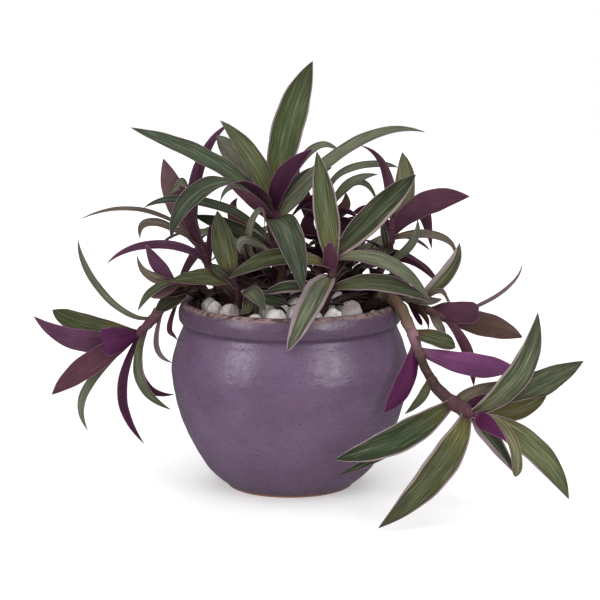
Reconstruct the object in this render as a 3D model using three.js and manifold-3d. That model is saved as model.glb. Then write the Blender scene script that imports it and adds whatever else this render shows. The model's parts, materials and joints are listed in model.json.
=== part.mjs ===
import * as THREE from "three";
import { mergeVertices } from "three/addons/utils/BufferGeometryUtils.js";
import Module from "manifold-3d";

// Millimetres, Z up. The pot's axis is the Z axis and it stands on z = 0.
// The front of the plant looks towards -Y.

// Driving sizes of the pot
const POT_RADIUS = 106;
const POT_HEIGHT = 168;
const FOOT_RADIUS = 55;
const FOOT_CURVE = 2;
const WALL = 7;
const FLOOR = 11;
const NECK_RADIUS = 95;
const NECK_HEIGHT = 0.868 * POT_HEIGHT;
const LIP_RADIUS = 99;
const POT_SEGMENTS = 44;

// Points of the belly, from the foot to the shoulder, as shares of the pot's radius and height
const BELLY = [
  [0.72, 0.12],
  [0.918, 0.363],
  [1, 0.607],
  [0.972, 0.74],
];

// Points of the rolled lip, as millimetres out from its bulge and up from the neck
const LIP = [
  [-3.5, 1.5],
  [0, 6],
  [0.3, 13],
  [-2.5, 20],
  [-6, POT_HEIGHT - NECK_HEIGHT],
  [-9, 18],
  [-10.5, 5],
];

// Driving sizes of what fills the pot
const GAP = 0.3;
const SOIL_HEIGHT = 153;
const ROOT_DEPTH = 24;
const PEBBLES = 32;
const PEBBLE_RADIUS = [6.5, 10];
const PEBBLE_HEIGHT = 17;
const PEBBLE_CUT = 0.78;
const PEBBLE_BREADTH = 0.87;
const PEBBLE_BUMPS = 0.05;
const BETWEEN_PEBBLES = 0.6;
const AROUND_STEMS = 1.2;
const INSIDE_NECK = 1;
const GOLDEN_TURN = Math.PI * (3 - Math.sqrt(5));

// Driving sizes of the stems and leaves
const STEM_SIDES = 8;
const BLADE_THICKNESS = 1.5;
const BLADE_RING_LENGTH = 21;
const BLADE_CHANNEL = 0.2;
const BLADE_CLASP = 0.2;
const CLASP_LENGTH = 0.25;
const BASE_BREADTH = 0.38;
const BASE_SWELL = 1.8;
const WIDEST_AT = 0.38;
const POINTED = 1.9;
const LEAF_STEP = 0.007;
const FINEST = 0.05;

// Driving sizes of the far side's leaves
const FAN_REACH = 105;
const FAN_BEND = 0.52;
const FAN_WIDTH = 21;
const FAN_HIGH = [24, 8];
const FAN_LOW = [12, -42];

// Colours
const GLAZE = 0x735c73;
const SOIL = 0x2b2220;
const STONE = 0xaaa09f;
const LEAF = 0x55604a;

const wasm = await Module();
wasm.setup();
const plant = new THREE.Group();
plant.name = "potted_tradescantia";

// One repeatable stream of random numbers from 0 to 1
let seed = 7;

function random() {
  seed = (seed * 16807) % 2147483647;
  return seed / 2147483647;
}

// A closed geometry as a solid that can be cut and joined
function solidFrom(geometry) {
  const bare = geometry.clone();
  bare.deleteAttribute("normal");
  bare.deleteAttribute("uv");
  const joined = mergeVertices(bare, 1e-3);
  return new wasm.Manifold(
    new wasm.Mesh({
      numProp: 3,
      vertProperties: joined.attributes.position.array,
      triVerts: new Uint32Array(joined.index.array),
    }),
  );
}

function geometryFrom(solid) {
  const made = solid.getMesh();
  const geometry = new THREE.BufferGeometry();
  geometry.setAttribute("position", new THREE.BufferAttribute(made.vertProperties, 3));
  geometry.setIndex(new THREE.BufferAttribute(made.triVerts, 1));
  geometry.computeVertexNormals();
  return geometry;
}

function addPiece(name, geometry, colour, roughness) {
  const material = new THREE.MeshStandardMaterial({ color: colour, roughness, metalness: 0 });
  const mesh = new THREE.Mesh(geometry, material);
  mesh.name = name;
  plant.add(mesh);
  return mesh;
}

// The pot, spun from its outline
const at = (radius, height) => new THREE.Vector2(radius, height);

function potOutline() {
  const shoulder = BELLY.map(([radius, height]) => at(radius * POT_RADIUS, height * POT_HEIGHT));
  const foot = at(FOOT_RADIUS + FOOT_CURVE, FOOT_CURVE);
  const belly = new THREE.SplineCurve([foot, ...shoulder, at(NECK_RADIUS, NECK_HEIGHT)]);
  const lip = new THREE.SplineCurve(LIP.map(([out, up]) => at(LIP_RADIUS + out, NECK_HEIGHT + up)));
  const outside = [...belly.getPoints(13), ...lip.getPoints(9)];
  return [at(0, 0), at(FOOT_RADIUS, 0), ...outside, ...innerWall(0)];
}

// The inside of the pot from the neck down to the middle of its floor, moved in by the given amount
function innerWall(inset) {
  const [, low, widest] = BELLY;
  const inside = new THREE.SplineCurve([
    at(NECK_RADIUS - WALL, NECK_HEIGHT),
    at(widest[0] * POT_RADIUS - WALL, widest[1] * POT_HEIGHT),
    at(low[0] * POT_RADIUS - WALL, low[1] * POT_HEIGHT),
    at(FOOT_RADIUS + 3, FLOOR + 3),
    at(FOOT_RADIUS - 9, FLOOR),
  ]);
  const down = inside.getPoints(6).map((p) => at(p.x - inset, p.y + inset));
  return [...down, at(0, FLOOR + inset)];
}

function spun(outline) {
  return new THREE.LatheGeometry(outline, POT_SEGMENTS).rotateX(Math.PI / 2);
}

addPiece("pot", spun(potOutline()), GLAZE, 0.35);

// A place is given by three millimetre readings: how far across and how far up it appears, from
// an eye in front of the plant, on the upright plane through the pot's axis, and how much nearer
// to that eye than the axis it lies.
const EYE = new THREE.Vector3(0, -1953, 516);
const EYE_DISTANCE = 2000;
const VIEW_CENTRE = at(9, 163.8);
const PITCH = THREE.MathUtils.degToRad(-10.12);
const YAW = THREE.MathUtils.degToRad(0.258);
const LEVEL = new THREE.Vector3(Math.sin(YAW), Math.cos(YAW), 0);
const RIGHT = new THREE.Vector3(Math.cos(YAW), -Math.sin(YAW), 0);
const AHEAD = LEVEL.multiplyScalar(Math.cos(PITCH)).setZ(Math.sin(PITCH));
const ABOVE = new THREE.Vector3().crossVectors(RIGHT, AHEAD);

function seen([across, up, near]) {
  const ray = AHEAD.clone().multiplyScalar(EYE_DISTANCE);
  ray.addScaledVector(RIGHT, across - VIEW_CENTRE.x);
  ray.addScaledVector(ABOVE, up - VIEW_CENTRE.y);
  return EYE.clone().addScaledVector(ray, (-near - EYE.y) / ray.y);
}

// The three readings of a place given as a vector
function readings(place) {
  const ray = place.clone().sub(EYE);
  const share = EYE_DISTANCE / ray.dot(AHEAD);
  return [ray.dot(RIGHT) * share + VIEW_CENTRE.x, ray.dot(ABOVE) * share + VIEW_CENTRE.y, -place.y];
}

// The directions that a leaf's upper side can look: at the viewer, back, or up
const LOOKS = {
  V: new THREE.Vector3(0, -1, 0.25),
  B: new THREE.Vector3(0, 1, -0.1),
  U: new THREE.Vector3(0, 0, 1),
};

// A smooth line through evenly timed points
function through(points, t) {
  const last = points.length - 1;
  const place = new THREE.Vector3();
  points.forEach((point, i) => {
    let share = 1;
    points.forEach((_, j) => {
      if (j !== i) share *= (t * last - j) / (i - j);
    });
    place.addScaledVector(point, share);
  });
  return place;
}

function heading(points, t) {
  const step = 0.01;
  return through(points, Math.min(t + step, 1)).sub(through(points, Math.max(t - step, 0))).normalize();
}

function lengthOf(points) {
  const parts = 10;
  let length = 0;
  for (let i = 0; i < parts; i += 1) {
    length += through(points, i / parts).distanceTo(through(points, (i + 1) / parts));
  }
  return length;
}

// The width of a blade, as a share of its greatest width, t of the way to the tip
function breadth(t, blunt) {
  if (t < WIDEST_AT) return BASE_BREADTH + (1 - BASE_BREADTH) * Math.sin(((t / WIDEST_AT) * Math.PI) / 2);
  return 1 - ((t - WIDEST_AT) / (1 - WIDEST_AT)) ** blunt;
}

// One blade: a narrow four-sided cone laid along its centre line and folded into a channel.
// The rows below give its middle points after the root, its width, where its upper side looks,
// and for some how far it twists in degrees and how blunt it is.
function blade(points, width, look, turn = 0, blunt = POINTED) {
  const wanted = new THREE.Vector3();
  for (const letter of look) wanted.add(LOOKS[letter]);
  const square = (side, t) => side.clone().projectOnPlane(heading(points, t)).normalize();
  const middle = THREE.MathUtils.clamp(Math.round(lengthOf(points) / BLADE_RING_LENGTH / 2), 2, 4);
  const rings = 2 * middle;
  const upper = [];
  upper[middle] = square(wanted, 0.5);
  for (let i = 1; i <= middle; i += 1) {
    upper[middle + i] = square(upper[middle + i - 1], (middle + i) / rings);
    upper[middle - i] = square(upper[middle - i + 1], (middle - i) / rings);
  }
  const cone = new THREE.ConeGeometry(1, 1, 4, rings);
  const place = cone.attributes.position;
  const corner = new THREE.Vector3();
  for (let i = 0; i < place.count; i += 1) {
    corner.fromBufferAttribute(place, i);
    const t = corner.y + 0.5;
    const reach = 1 - t;
    const spot = through(points, t);
    if (reach > 1e-6) {
      const along = heading(points, t);
      const facing = upper[Math.round(t * rings)].clone();
      facing.applyAxisAngle(along, THREE.MathUtils.degToRad(turn) * (t - 0.5));
      const sideways = new THREE.Vector3().crossVectors(along, facing);
      const half = (width / 2) * breadth(t, blunt);
      const rooted = Math.max(0, 1 - t / CLASP_LENGTH) ** 2;
      const thick = BLADE_THICKNESS * (1 + BASE_SWELL * rooted);
      const fold = (BLADE_CHANNEL + BLADE_CLASP * rooted) * half * Math.abs(corner.x / reach);
      spot.addScaledVector(sideways, (half * corner.x) / reach);
      spot.addScaledVector(facing, fold + ((thick / 2) * corner.z) / reach);
    }
    place.setXYZ(i, spot.x, spot.y, spot.z);
  }
  return solidFrom(cone);
}

// A round tube along a line
function tube(line, thickness, steps) {
  const round = new THREE.Shape().absarc(0, 0, thickness / 2, 0, 2 * Math.PI);
  const form = { steps, extrudePath: line, curveSegments: STEM_SIDES / 2 };
  return solidFrom(new THREE.ExtrudeGeometry(round, form));
}

// The one connected surface that encloses a joined body, without pockets shut in between its blades
function outerBody(solid) {
  const shells = solid.simplify(FINEST).decompose();
  return shells.reduce((most, part) => (part.volume() > most.volume() ? part : most));
}

// Leaves that fan out from a crown between two compass angles, by turns a low one and a high one
function fan(crown, count, from, to, height = 0.97) {
  const centre = seen(crown);
  const rows = [];
  for (let k = 0; k < count; k += 1) {
    const angle = THREE.MathUtils.degToRad(THREE.MathUtils.lerp(from, to, (k + 0.5) / count));
    const reach = FAN_REACH * (0.85 + 0.3 * random());
    const [rise, end] = k % 2 ? FAN_HIGH : FAN_LOW;
    const out = new THREE.Vector3(Math.cos(angle), Math.sin(angle), 0);
    const middle = centre.clone().addScaledVector(out, FAN_BEND * reach).setZ(centre.z + rise);
    const tip = centre.clone().addScaledVector(out, reach).setZ(centre.z + end);
    rows.push(["fan", height, [readings(middle), readings(tip)], FAN_WIDTH, "U"]);
  }
  return rows;
}

// One leafy stem. Its foot is a place on the soil, its path the readings of the points above, and
// each leaf row gives the height of its root as a share of the stem.
const holes = [];
const stems = [];

function shoot(name, foot, thickness, path, leaves) {
  const root = new THREE.Vector3(foot[0], foot[1], SOIL_HEIGHT - ROOT_DEPTH);
  const collar = new THREE.Vector3(foot[0], foot[1], SOIL_HEIGHT);
  const line = new THREE.CatmullRomCurve3([root, collar, ...path.map(seen)], false, "catmullrom", 0.5);
  const steps = 2 * path.length + 3;
  const blades = leaves.map(([, height, places, ...form], i) =>
    blade([line.getPoint(Math.min(1, height - i * LEAF_STEP)), ...places.map(seen)], ...form),
  );
  const body = wasm.Manifold.union([tube(line, thickness, steps), ...blades]);
  holes.push(tube(line, thickness + 2 * GAP, steps));
  stems.push({ line, radius: thickness / 2 });
  addPiece("shoot_" + name, geometryFrom(outerBody(body)), LEAF, 0.55);
}

shoot("tall", [-9, -4], 11, [[-10, 188, 2], [-14, 222, 2], [-14, 247, 0]], [
  ["upright", 0.99, [[-3, 315, -12], [20.5, 379, -20]], 29, "V"],
  ["olive", 0.97, [[-32.5, 289, 4], [-63, 325.5, 6]], 19, "V"],
  ["grey", 0.95, [[-43, 283.5, -9], [-66, 312, -14]], 18, "V", 0, 4],
  ["long left", 0.95, [[-57, 279.5, 8], [-102, 303, 14], [-143, 319, 18]], 21, "VU"],
  ["arched left", 0.93, [[-49, 269.5, 34], [-88, 256.5, 60], [-107, 218.5, 76]], 22, "UUV", -110],
  ["purple centre", 0.98, [[-7, 273, 22], [21, 300, 14]], 16.5, "B"],
  ["long right", 0.96, [[25, 280, 0], [72, 311, -6], [121, 315, -14]], 14, "UV"],
  ["hooked", 0.98, [[12, 291, -16], [32, 303.5, -24], [47, 295, -30]], 9, "UV"],
  ["behind right", 0.95, [[10, 269, -10], [38, 283, -16]], 17, "V"],
  ["low right", 0.93, [[8, 258, 9], [30, 282, 8]], 10, "V"],
  ["front droop", 0.88, [[-8.5, 234, 44], [3, 209, 78], [11, 171, 88]], 27, "UV"],
  ["left narrow", 0.72, [[-50, 242, 22], [-97, 254, 34], [-131, 247, 38]], 12, "UV"],
  ["dark wide", 0.72, [[-52, 228, -4], [-87.5, 240, -2]], 15, "V"],
  ["brown tip", 0.7, [[-47.5, 233, -24], [-47, 256, -28]], 13, "B"],
  ["thin hook", 0.62, [[-37, 214, 28], [-30, 243, 40], [-23, 228, 46]], 6, "V"],
  ["curl", 0.7, [[-28, 213, 30], [-42, 217, 40], [-45, 205, 44]], 10, "UV"],
  ["grey strap", 0.98, [[-38, 262, -2], [-54, 265.5, -4], [-63, 252, -4]], 6.5, "V"],
  ...fan([-14, 247, 0], 3, 60, 100),
]);
shoot("front", [27, -36], 10, [[34, 170, 42], [38, 186, 42], [38, 204, 40]], [
  ["upright", 0.82, [[32, 246, 38], [24, 298, 32]], 22.5, "V"],
  ["bud", 0.8, [[36.5, 199, 48], [36, 216.5, 50]], 13, "B", 0, 4],
  ["right up", 0.97, [[76.5, 241, 40], [113.5, 277, 34]], 23, "V"],
  ["right arch", 0.95, [[68, 202, 55], [100, 189.5, 72], [126, 163, 80]], 17, "UV"],
  ["right low", 0.55, [[80, 178, 66], [126, 162, 84]], 21, "UV"],
  ["front droop", 0.72, [[27, 175, 66], [12, 147, 104], [-3, 117, 117]], 23, "UV"],
  ["left", 0.88, [[2, 202, 50], [-28, 197, 56], [-56, 183, 58]], 20, "UV"],
  ["left small", 0.62, [[0, 175, 56], [-23.5, 169, 60]], 14, "UV"],
]);
shoot("left", [-50, 8], 8, [[-66, 178, 0], [-74, 196, 2], [-80, 212, 2], [-84, 224, 0]], [
  ["brown upright", 0.75, [[-100, 250, 8], [-114, 291.3, 2]], 23.5, "B"],
  ["purple back", 0.95, [[-88, 250, -8], [-79, 291, -20], [-54, 323, -28]], 11.5, "B"],
  ["thin arch", 0.9, [[-117, 240, 16], [-153, 246, 22], [-188, 237, 26]], 5.5, "UV"],
  ["green curl", 0.82, [[-108, 229, 22], [-129, 233, 32], [-135, 219, 36]], 10.5, "UV"],
  ["purple low", 0.6, [[-97, 211, 16], [-134, 212.5, 24], [-165, 196, 28]], 8, "B"],
  ["folded", 0.75, [[-92, 262, 6], [-99, 268, 12], [-111, 259, 20]], 10, "UV"],
  ["purple side", 0.6, [[-72, 218, -4], [-69, 240, -8]], 6, "B"],
  ["folded back", 0.74, [[-89.5, 242, 14], [-96, 267, 14]], 13, "B", 0, 5],
]);
shoot("low_left", [-36, -18], 9, [[-46, 164, 42], [-50, 176, 42], [-52, 184, 42]], [
  ["upright", 0.95, [[-60, 214, 42], [-65.5, 244.5, 36]], 21, "V"],
  ["left", 0.85, [[-78, 183, 56], [-109, 180.5, 64]], 20, "UV"],
  ["small left", 0.85, [[-61.7, 188.5, 50], [-71.5, 196.5, 50]], 10, "V"],
]);
shoot("left_rim", [-62, 17], 7, [[-80, 176, 2], [-93, 179, 18], [-106, 181, 28]], [
  ["purple", 0.97, [[-118, 194, 30], [-130, 214, 28]], 13, "B"],
  ["green", 0.97, [[-128, 187, 36], [-137.5, 204, 38]], 9, "V"],
  ["down", 0.9, [[-122, 173, 42], [-137, 154, 50]], 9, "UV"],
  ["brown small", 0.85, [[-114, 170, 38], [-125, 166, 44]], 7, "B"],
]);
const LEFT_TRAIL = [
  [-88, 172, -2],
  [-102, 170, 6],
  [-114, 158, 14],
  [-126, 144, 22],
  [-139, 131, 30],
];
shoot("left_trail", [-70, 36], 9, LEFT_TRAIL, [
  ["long up", 0.78, [[-152, 155, 22], [-179, 184, 24], [-190.5, 218, 22]], 7.5, "UV"],
  ["green", 0.97, [[-182, 141, 28], [-214, 155, 24]], 19, "V"],
  ["purple left", 0.97, [[-187, 127, 40], [-231, 149.5, 40]], 20, "B"],
  ["rolled", 1, [[-153, 128, 52], [-172, 124, 56]], 29, "B", 0, 6],
  ["brown left", 1, [[-182, 105, 46], [-214.5, 78.5, 50]], 21, "B"],
  ["thin down", 0.98, [[-174, 97, 34], [-188, 70, 34], [-182, 46, 34]], 8, "V"],
  ["strap", 0.97, [[-150, 94, 50], [-148, 62, 56], [-131, 34, 54]], 9, "B"],
  ["green down", 0.93, [[-137, 104, 46], [-128, 80, 50], [-107, 65, 46]], 9, "V"],
  ["purple tip", 0.9, [[-137, 106, 30], [-127, 84, 34], [-104, 79, 32]], 9, "B"],
  ["thin mid", 0.72, [[-120.5, 129, 24], [-116.5, 114, 28], [-105.5, 107, 30]], 5, "B"],
  ["dark hook", 0.52, [[-108, 143, 14], [-107, 134, 16], [-101, 127, 24]], 5, "B"],
]);
shoot("right_back", [66, 16], 8, [[77, 180, -14], [86, 202, -16], [91, 222, -18], [93, 238, -20]], [
  ["big purple", 0.8, [[119, 249, -10], [162, 257, -8]], 22, "B"],
  ["light upright", 0.95, [[103, 262, -30], [101, 297, -34]], 19, "V"],
  ["purple arch", 0.97, [[91, 255, -26], [84.5, 284, -32], [62.5, 303, -38]], 10.5, "B"],
  ["arch", 0.78, [[115, 223, -6], [140, 218, 2], [148, 200, 6]], 10, "UV", -60],
  ["small green", 0.56, [[109, 214, 2], [114.5, 236.5, 0]], 8, "V"],
  ["thin dark", 0.6, [[108, 199, -4], [130, 181, 0]], 6, "B"],
  ["dark inner", 0.85, [[75, 243, -24], [55, 241, -30]], 12, "B"],
  ["green inner", 0.7, [[85, 222, -2], [83, 238, -2]], 7, "V"],
  ...fan([93, 238, -20], 1, 40, 90),
]);
shoot("mid_back", [18, 38], 8, [[26, 195, -40], [32, 228, -42], [36, 252, -44]], [
  ["arc upper", 0.97, [[43, 275.5, -44], [70, 285.5, -46], [97, 283.3, -46]], 9, "UV"],
  ["arc lower", 0.93, [[48, 263, -36], [62, 273, -38], [79, 277, -40]], 11, "UV"],
  ["grey hook", 0.9, [[52, 266, -48], [68, 268, -50], [79, 249, -52]], 9, "UV"],
  ["brown", 0.88, [[48, 246, -38], [50, 261, -40]], 11, "B"],
  ["purple left", 0.72, [[16, 228, -36], [24, 250, -40]], 14, "B"],
  ["thin dark", 0.97, [[20, 255, -40], [0, 237, -42]], 7, "B"],
  ["right dark", 0.85, [[48, 244, -30], [62, 236, -30]], 6, "B"],
  ["dark behind", 0.7, [[48, 228, -50], [66, 240, -54]], 16, "B"],
]);
const RIGHT_TRAIL = [
  [82, 166, 28],
  [95, 163, 34],
  [104.5, 146, 42],
  [112, 129.5, 52],
  [119, 108, 70],
  [130, 88, 88],
  [147, 73, 104],
  [166, 60, 116],
];
shoot("right_trail", [66, -6], 10.5, RIGHT_TRAIL, [
  ["magenta front", 0.57, [[104, 91, 76], [84, 62, 86]], 17, "B"],
  ["magenta right", 0.62, [[160, 106, 74], [204, 103, 78]], 21, "B"],
  ["green short", 0.54, [[132, 128, 62], [149, 121, 66]], 18, "UV", 0, 4],
  ["thin down", 0.76, [[117, 78, 96], [102, 60, 98]], 6, "V"],
  ["left", 0.915, [[96, 38.5, 142], [39, 20, 158]], 25, "V"],
  ["down left", 1, [[131.5, 9, 142], [79, -42, 163]], 27, "V"],
  ["lower mid", 1.03, [[189, 34, 126], [206, 6, 124]], 15, "V"],
  ["hanging", 1.05, [[191, 51, 130], [203, 27, 140], [202.5, 4.5, 142]], 10, "UV", 0, 4],
  ["lower right", 1.05, [[217.5, 30, 130], [251, -15.5, 132]], 26, "UV"],
  ["olive", 1.06, [[203, 64, 116], [231, 77.5, 112]], 17, "V"],
  ["right", 1.05, [[220, 86, 104], [264.5, 109, 98]], 24, "V"],
  ["up", 1.06, [[206.5, 98, 112], [223, 153, 104]], 22, "V"],
  ["purple young", 1.08, [[178, 52, 138], [196, 36, 148]], 15, "B"],
  ["back", 0.98, [[168, 80, 100], [198, 91, 98]], 14, "V"],
  ["dark by pot", 0.98, [[92, 28, 116], [42, 6, 118]], 12, "V"],
  ["sprout", 0.3, [[80, 166, 33], [82.5, 172.5, 37]], 6, "V"],
]);
const RIGHT_RIM = [
  [82, 168, 4],
  [97, 169, 9],
  [112, 161, 16],
  [126, 154, 24],
  [142, 147, 32],
];
shoot("right_rim", [75, 12], 7.5, RIGHT_RIM, [
  ["folded", 0.82, [[148, 152, 36], [172, 154, 38]], 20, "B", 0, 6],
  ["tail", 0.97, [[172, 160, 30], [198, 177, 26], [209, 197, 24]], 3.6, "B"],
  ["brown", 0.95, [[178, 141, 26], [209.5, 130, 24]], 22, "B"],
  ["strap", 0.97, [[155, 128, 44], [163, 106, 48], [165.5, 86, 48]], 10, "B"],
  ["small green", 0.85, [[134, 141, 36], [140, 131, 40]], 8, "V"],
  ["small dark", 0.62, [[115, 148, 24], [118.5, 141, 26]], 5, "B"],
  ["pink edged", 0.7, [[141.5, 188, 22], [152.5, 215.5, 20]], 14, "V"],
  ["thin", 0.75, [[134, 172, 28], [142, 160, 30]], 5, "V"],
]);
shoot("low_front", [-34, -50], 6, [[-36, 164, 60], [-42, 171, 62]], [
  ["triangle", 0.95, [[-33, 169, 70], [-22, 154, 80]], 16, "UV"],
  ["dark left", 0.93, [[-38, 158, 68], [-46, 151, 72]], 10, "UV"],
  ["dark right", 0.9, [[-17, 165, 56], [-2, 160, 58]], 13, "V"],
]);
shoot("far_left", [-26, 48], 9, [[-30, 182, -54], [-34, 196, -58]], [
  ...fan([-34, 196, -58], 6, 64, 154),
]);
shoot("far_right", [48, 56], 9, [[50, 178, -62], [50, 190, -64]], [
  ...fan([50, 190, -64], 6, 14, 124),
]);

// The soil, with a plain hole for every stem
function soilSolid() {
  const outline = innerWall(GAP).reverse();
  outline.push(at(NECK_RADIUS - WALL - GAP, SOIL_HEIGHT), at(0, SOIL_HEIGHT));
  let solid = solidFrom(spun(outline));
  for (const hole of holes) solid = solid.subtract(hole);
  return solid;
}

addPiece("soil", geometryFrom(soilSolid()), SOIL, 0.95);

// The pebbles on the soil. A row of them lies along the front of the rim, and the rest fill the
// free places between the stems by a turning rule.
const pebbles = [];

function isFree(x, y, radius) {
  if (Math.hypot(x, y) + radius > NECK_RADIUS - WALL - INSIDE_NECK) return false;
  for (const other of pebbles) {
    if (Math.hypot(x - other.x, y - other.y) < radius + other.radius + BETWEEN_PEBBLES) return false;
  }
  for (const stem of stems) {
    for (let t = 0; t <= 0.6; t += 0.02) {
      const spot = stem.line.getPoint(t);
      if (spot.z > SOIL_HEIGHT + 1.3 * PEBBLE_HEIGHT) continue;
      if (Math.hypot(x - spot.x, y - spot.y) < radius + stem.radius + AROUND_STEMS) return false;
    }
  }
  return true;
}

function pebble(x, y, radius, height) {
  const ball = new THREE.IcosahedronGeometry(1, 1);
  ball.deleteAttribute("normal");
  ball.deleteAttribute("uv");
  const stone = mergeVertices(ball, 1e-3);
  const place = stone.attributes.position;
  const turn = 2 * Math.PI * random();
  const corner = new THREE.Vector3();
  for (let i = 0; i < place.count; i += 1) {
    corner.fromBufferAttribute(place, i);
    const wave = Math.sin(3 * corner.x + 5 * corner.y + turn) - 1 - Math.abs(corner.x * corner.y);
    corner.multiplyScalar(1 + PEBBLE_BUMPS * wave);
    corner.z = Math.max(corner.z, -PEBBLE_CUT);
    corner.multiply(new THREE.Vector3(radius, PEBBLE_BREADTH * radius, height / (1 + PEBBLE_CUT)));
    place.setXYZ(i, corner.x, corner.y, corner.z);
  }
  stone.rotateZ(turn);
  stone.computeBoundingBox();
  const number = String(pebbles.length + 1).padStart(2, "0");
  const mesh = addPiece("pebble_" + number, stone, STONE, 0.8);
  mesh.position.set(x, y, SOIL_HEIGHT + GAP - stone.boundingBox.min.z);
  pebbles.push({ x, y, radius });
}

// Each row: x and y on the soil, radius, height
const FRONT_PEBBLES = [
  [-72, -2, 9, 17.5],
  [-66, -21, 8.5, 17],
  [-53, -40, 10, 19],
  [-30, -71, 7.5, 15],
  [-12, -70, 10.5, 19],
  [2, -46, 8, 18.5],
  [6, -72, 6.5, 14],
  [37, -62, 8.5, 18.5],
  [54, -30, 11, 20],
  [73, -31, 5, 11],
];
for (const row of FRONT_PEBBLES) pebble(...row);

const TRIES = 400;
for (let k = 1; k < TRIES && pebbles.length < PEBBLES; k += 1) {
  const far = (NECK_RADIUS - WALL) * Math.sqrt(k / TRIES);
  const x = far * Math.cos(k * GOLDEN_TURN);
  const y = far * Math.sin(k * GOLDEN_TURN);
  const radius = THREE.MathUtils.lerp(PEBBLE_RADIUS[0], PEBBLE_RADIUS[1], random());
  if (isFree(x, y, radius)) pebble(x, y, radius, PEBBLE_HEIGHT * (0.85 + 0.25 * random()));
}

export default plant;
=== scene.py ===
# %% [markdown]
# # A potted tradescantia
# A round pot with a satin purple glaze holds a leggy houseplant. Pale pebbles dress the soil, striped
# leaves stand up in crowns, and older stems hang over the rim and end in leaves of their own.
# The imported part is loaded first. It fixes where every piece is, so that each finer piece made
# here lies where its solid is, and nothing has to be fitted by eye.

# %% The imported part
import json
import math
import random
from collections import namedtuple

import bpy
from mathutils import Matrix, Vector

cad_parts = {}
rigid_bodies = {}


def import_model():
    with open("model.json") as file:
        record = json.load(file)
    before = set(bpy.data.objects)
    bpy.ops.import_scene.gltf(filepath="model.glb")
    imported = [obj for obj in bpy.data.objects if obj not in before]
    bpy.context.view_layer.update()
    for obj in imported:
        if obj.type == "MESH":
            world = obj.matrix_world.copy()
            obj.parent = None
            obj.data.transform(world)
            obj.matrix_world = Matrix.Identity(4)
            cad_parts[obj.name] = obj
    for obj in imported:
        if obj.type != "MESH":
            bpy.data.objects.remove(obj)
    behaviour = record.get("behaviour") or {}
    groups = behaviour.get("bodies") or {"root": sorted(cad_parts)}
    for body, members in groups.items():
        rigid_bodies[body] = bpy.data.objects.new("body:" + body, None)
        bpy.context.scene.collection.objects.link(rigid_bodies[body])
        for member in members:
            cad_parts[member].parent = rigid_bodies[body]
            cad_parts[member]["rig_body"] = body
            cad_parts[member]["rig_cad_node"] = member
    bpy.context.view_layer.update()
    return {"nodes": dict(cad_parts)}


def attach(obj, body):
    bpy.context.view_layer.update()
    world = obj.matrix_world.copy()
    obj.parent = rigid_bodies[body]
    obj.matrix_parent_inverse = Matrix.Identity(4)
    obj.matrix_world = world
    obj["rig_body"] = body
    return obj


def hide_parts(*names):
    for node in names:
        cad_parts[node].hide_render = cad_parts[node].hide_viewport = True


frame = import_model()
MM = 0.001
print("nodes in the part:", len(frame["nodes"]))

# %% [markdown]
# ## Where things are seen
# The leaves were placed by how they appear from an eye in front of the plant: so far across, so far
# up, and so much nearer than the pot's axis. The same eye is the camera here, a long lens two metres
# away that looks down by ten degrees. A reading becomes a place by going along its line of sight.

# %% The eye and the camera
EYE = Vector((0, -1953, 516))
EYE_DISTANCE = 2000
VIEW_CENTRE = (9, 163.8)
PITCH = math.radians(-10.12)
YAW = math.radians(0.258)
AHEAD = Vector((math.sin(YAW) * math.cos(PITCH), math.cos(YAW) * math.cos(PITCH), math.sin(PITCH)))
RIGHT = Vector((math.cos(YAW), -math.sin(YAW), 0))
ABOVE = RIGHT.cross(AHEAD)
LENS = 133.3
SENSOR = 36
SIGHT_METRES = 50


def seen(reading):
    """The place, in millimetres, of a reading: across, up, nearer than the pot's axis."""
    across, up, near = reading
    ray = AHEAD * EYE_DISTANCE + RIGHT * (across - VIEW_CENTRE[0]) + ABOVE * (up - VIEW_CENTRE[1])
    return EYE + ray * ((-near - EYE.y) / ray.y)


camera = bpy.data.objects.new("camera", bpy.data.cameras.new("camera"))
bpy.context.scene.collection.objects.link(camera)
turned = Matrix((RIGHT, ABOVE, -AHEAD)).transposed().to_4x4()
camera.matrix_world = Matrix.Translation(EYE * MM) @ turned
camera.data.lens = LENS
camera.data.sensor_width = SENSOR
camera.data.clip_end = SIGHT_METRES
bpy.context.scene.camera = camera
print("camera at", [round(x, 3) for x in camera.location])

# %% [markdown]
# ## Working by hand
# Each operator works on whatever is selected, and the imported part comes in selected. So one helper
# leaves a single piece selected and active, and another adds a modifier and applies it at once.

# %% Helpers for modelling
MERGE_REACH = 0.01


def alone(piece):
    """Leaves only this piece selected and active."""
    if bpy.context.object and bpy.context.object.mode == "EDIT":
        bpy.ops.object.mode_set(mode="OBJECT")
    bpy.ops.object.select_all(action="DESELECT")
    bpy.context.view_layer.objects.active = piece
    piece.select_set(True)
    return piece


def applied(piece, kind, **settings):
    """Adds a modifier to the piece and applies it."""
    alone(piece)
    modifier = piece.modifiers.new(kind.lower(), kind)
    for name, value in settings.items():
        setattr(modifier, name, value)
    bpy.ops.object.modifier_apply(modifier=modifier.name)
    return piece


def added(name):
    """The piece that the last primitive made, under its own name."""
    piece = bpy.context.object
    piece.name = name
    piece.data.name = name
    return piece


def closed(piece, outward=True):
    """Merges the points that meet, closes open ends and turns the faces outward."""
    alone(piece)
    bpy.ops.object.mode_set(mode="EDIT")
    bpy.ops.mesh.select_all(action="SELECT")
    bpy.ops.mesh.remove_doubles(threshold=MERGE_REACH * MM)
    if outward:
        bpy.ops.mesh.fill_holes(sides=0)
        bpy.ops.mesh.select_all(action="SELECT")
        bpy.ops.mesh.normals_make_consistent(inside=False)
    bpy.ops.object.mode_set(mode="OBJECT")
    return piece


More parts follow.
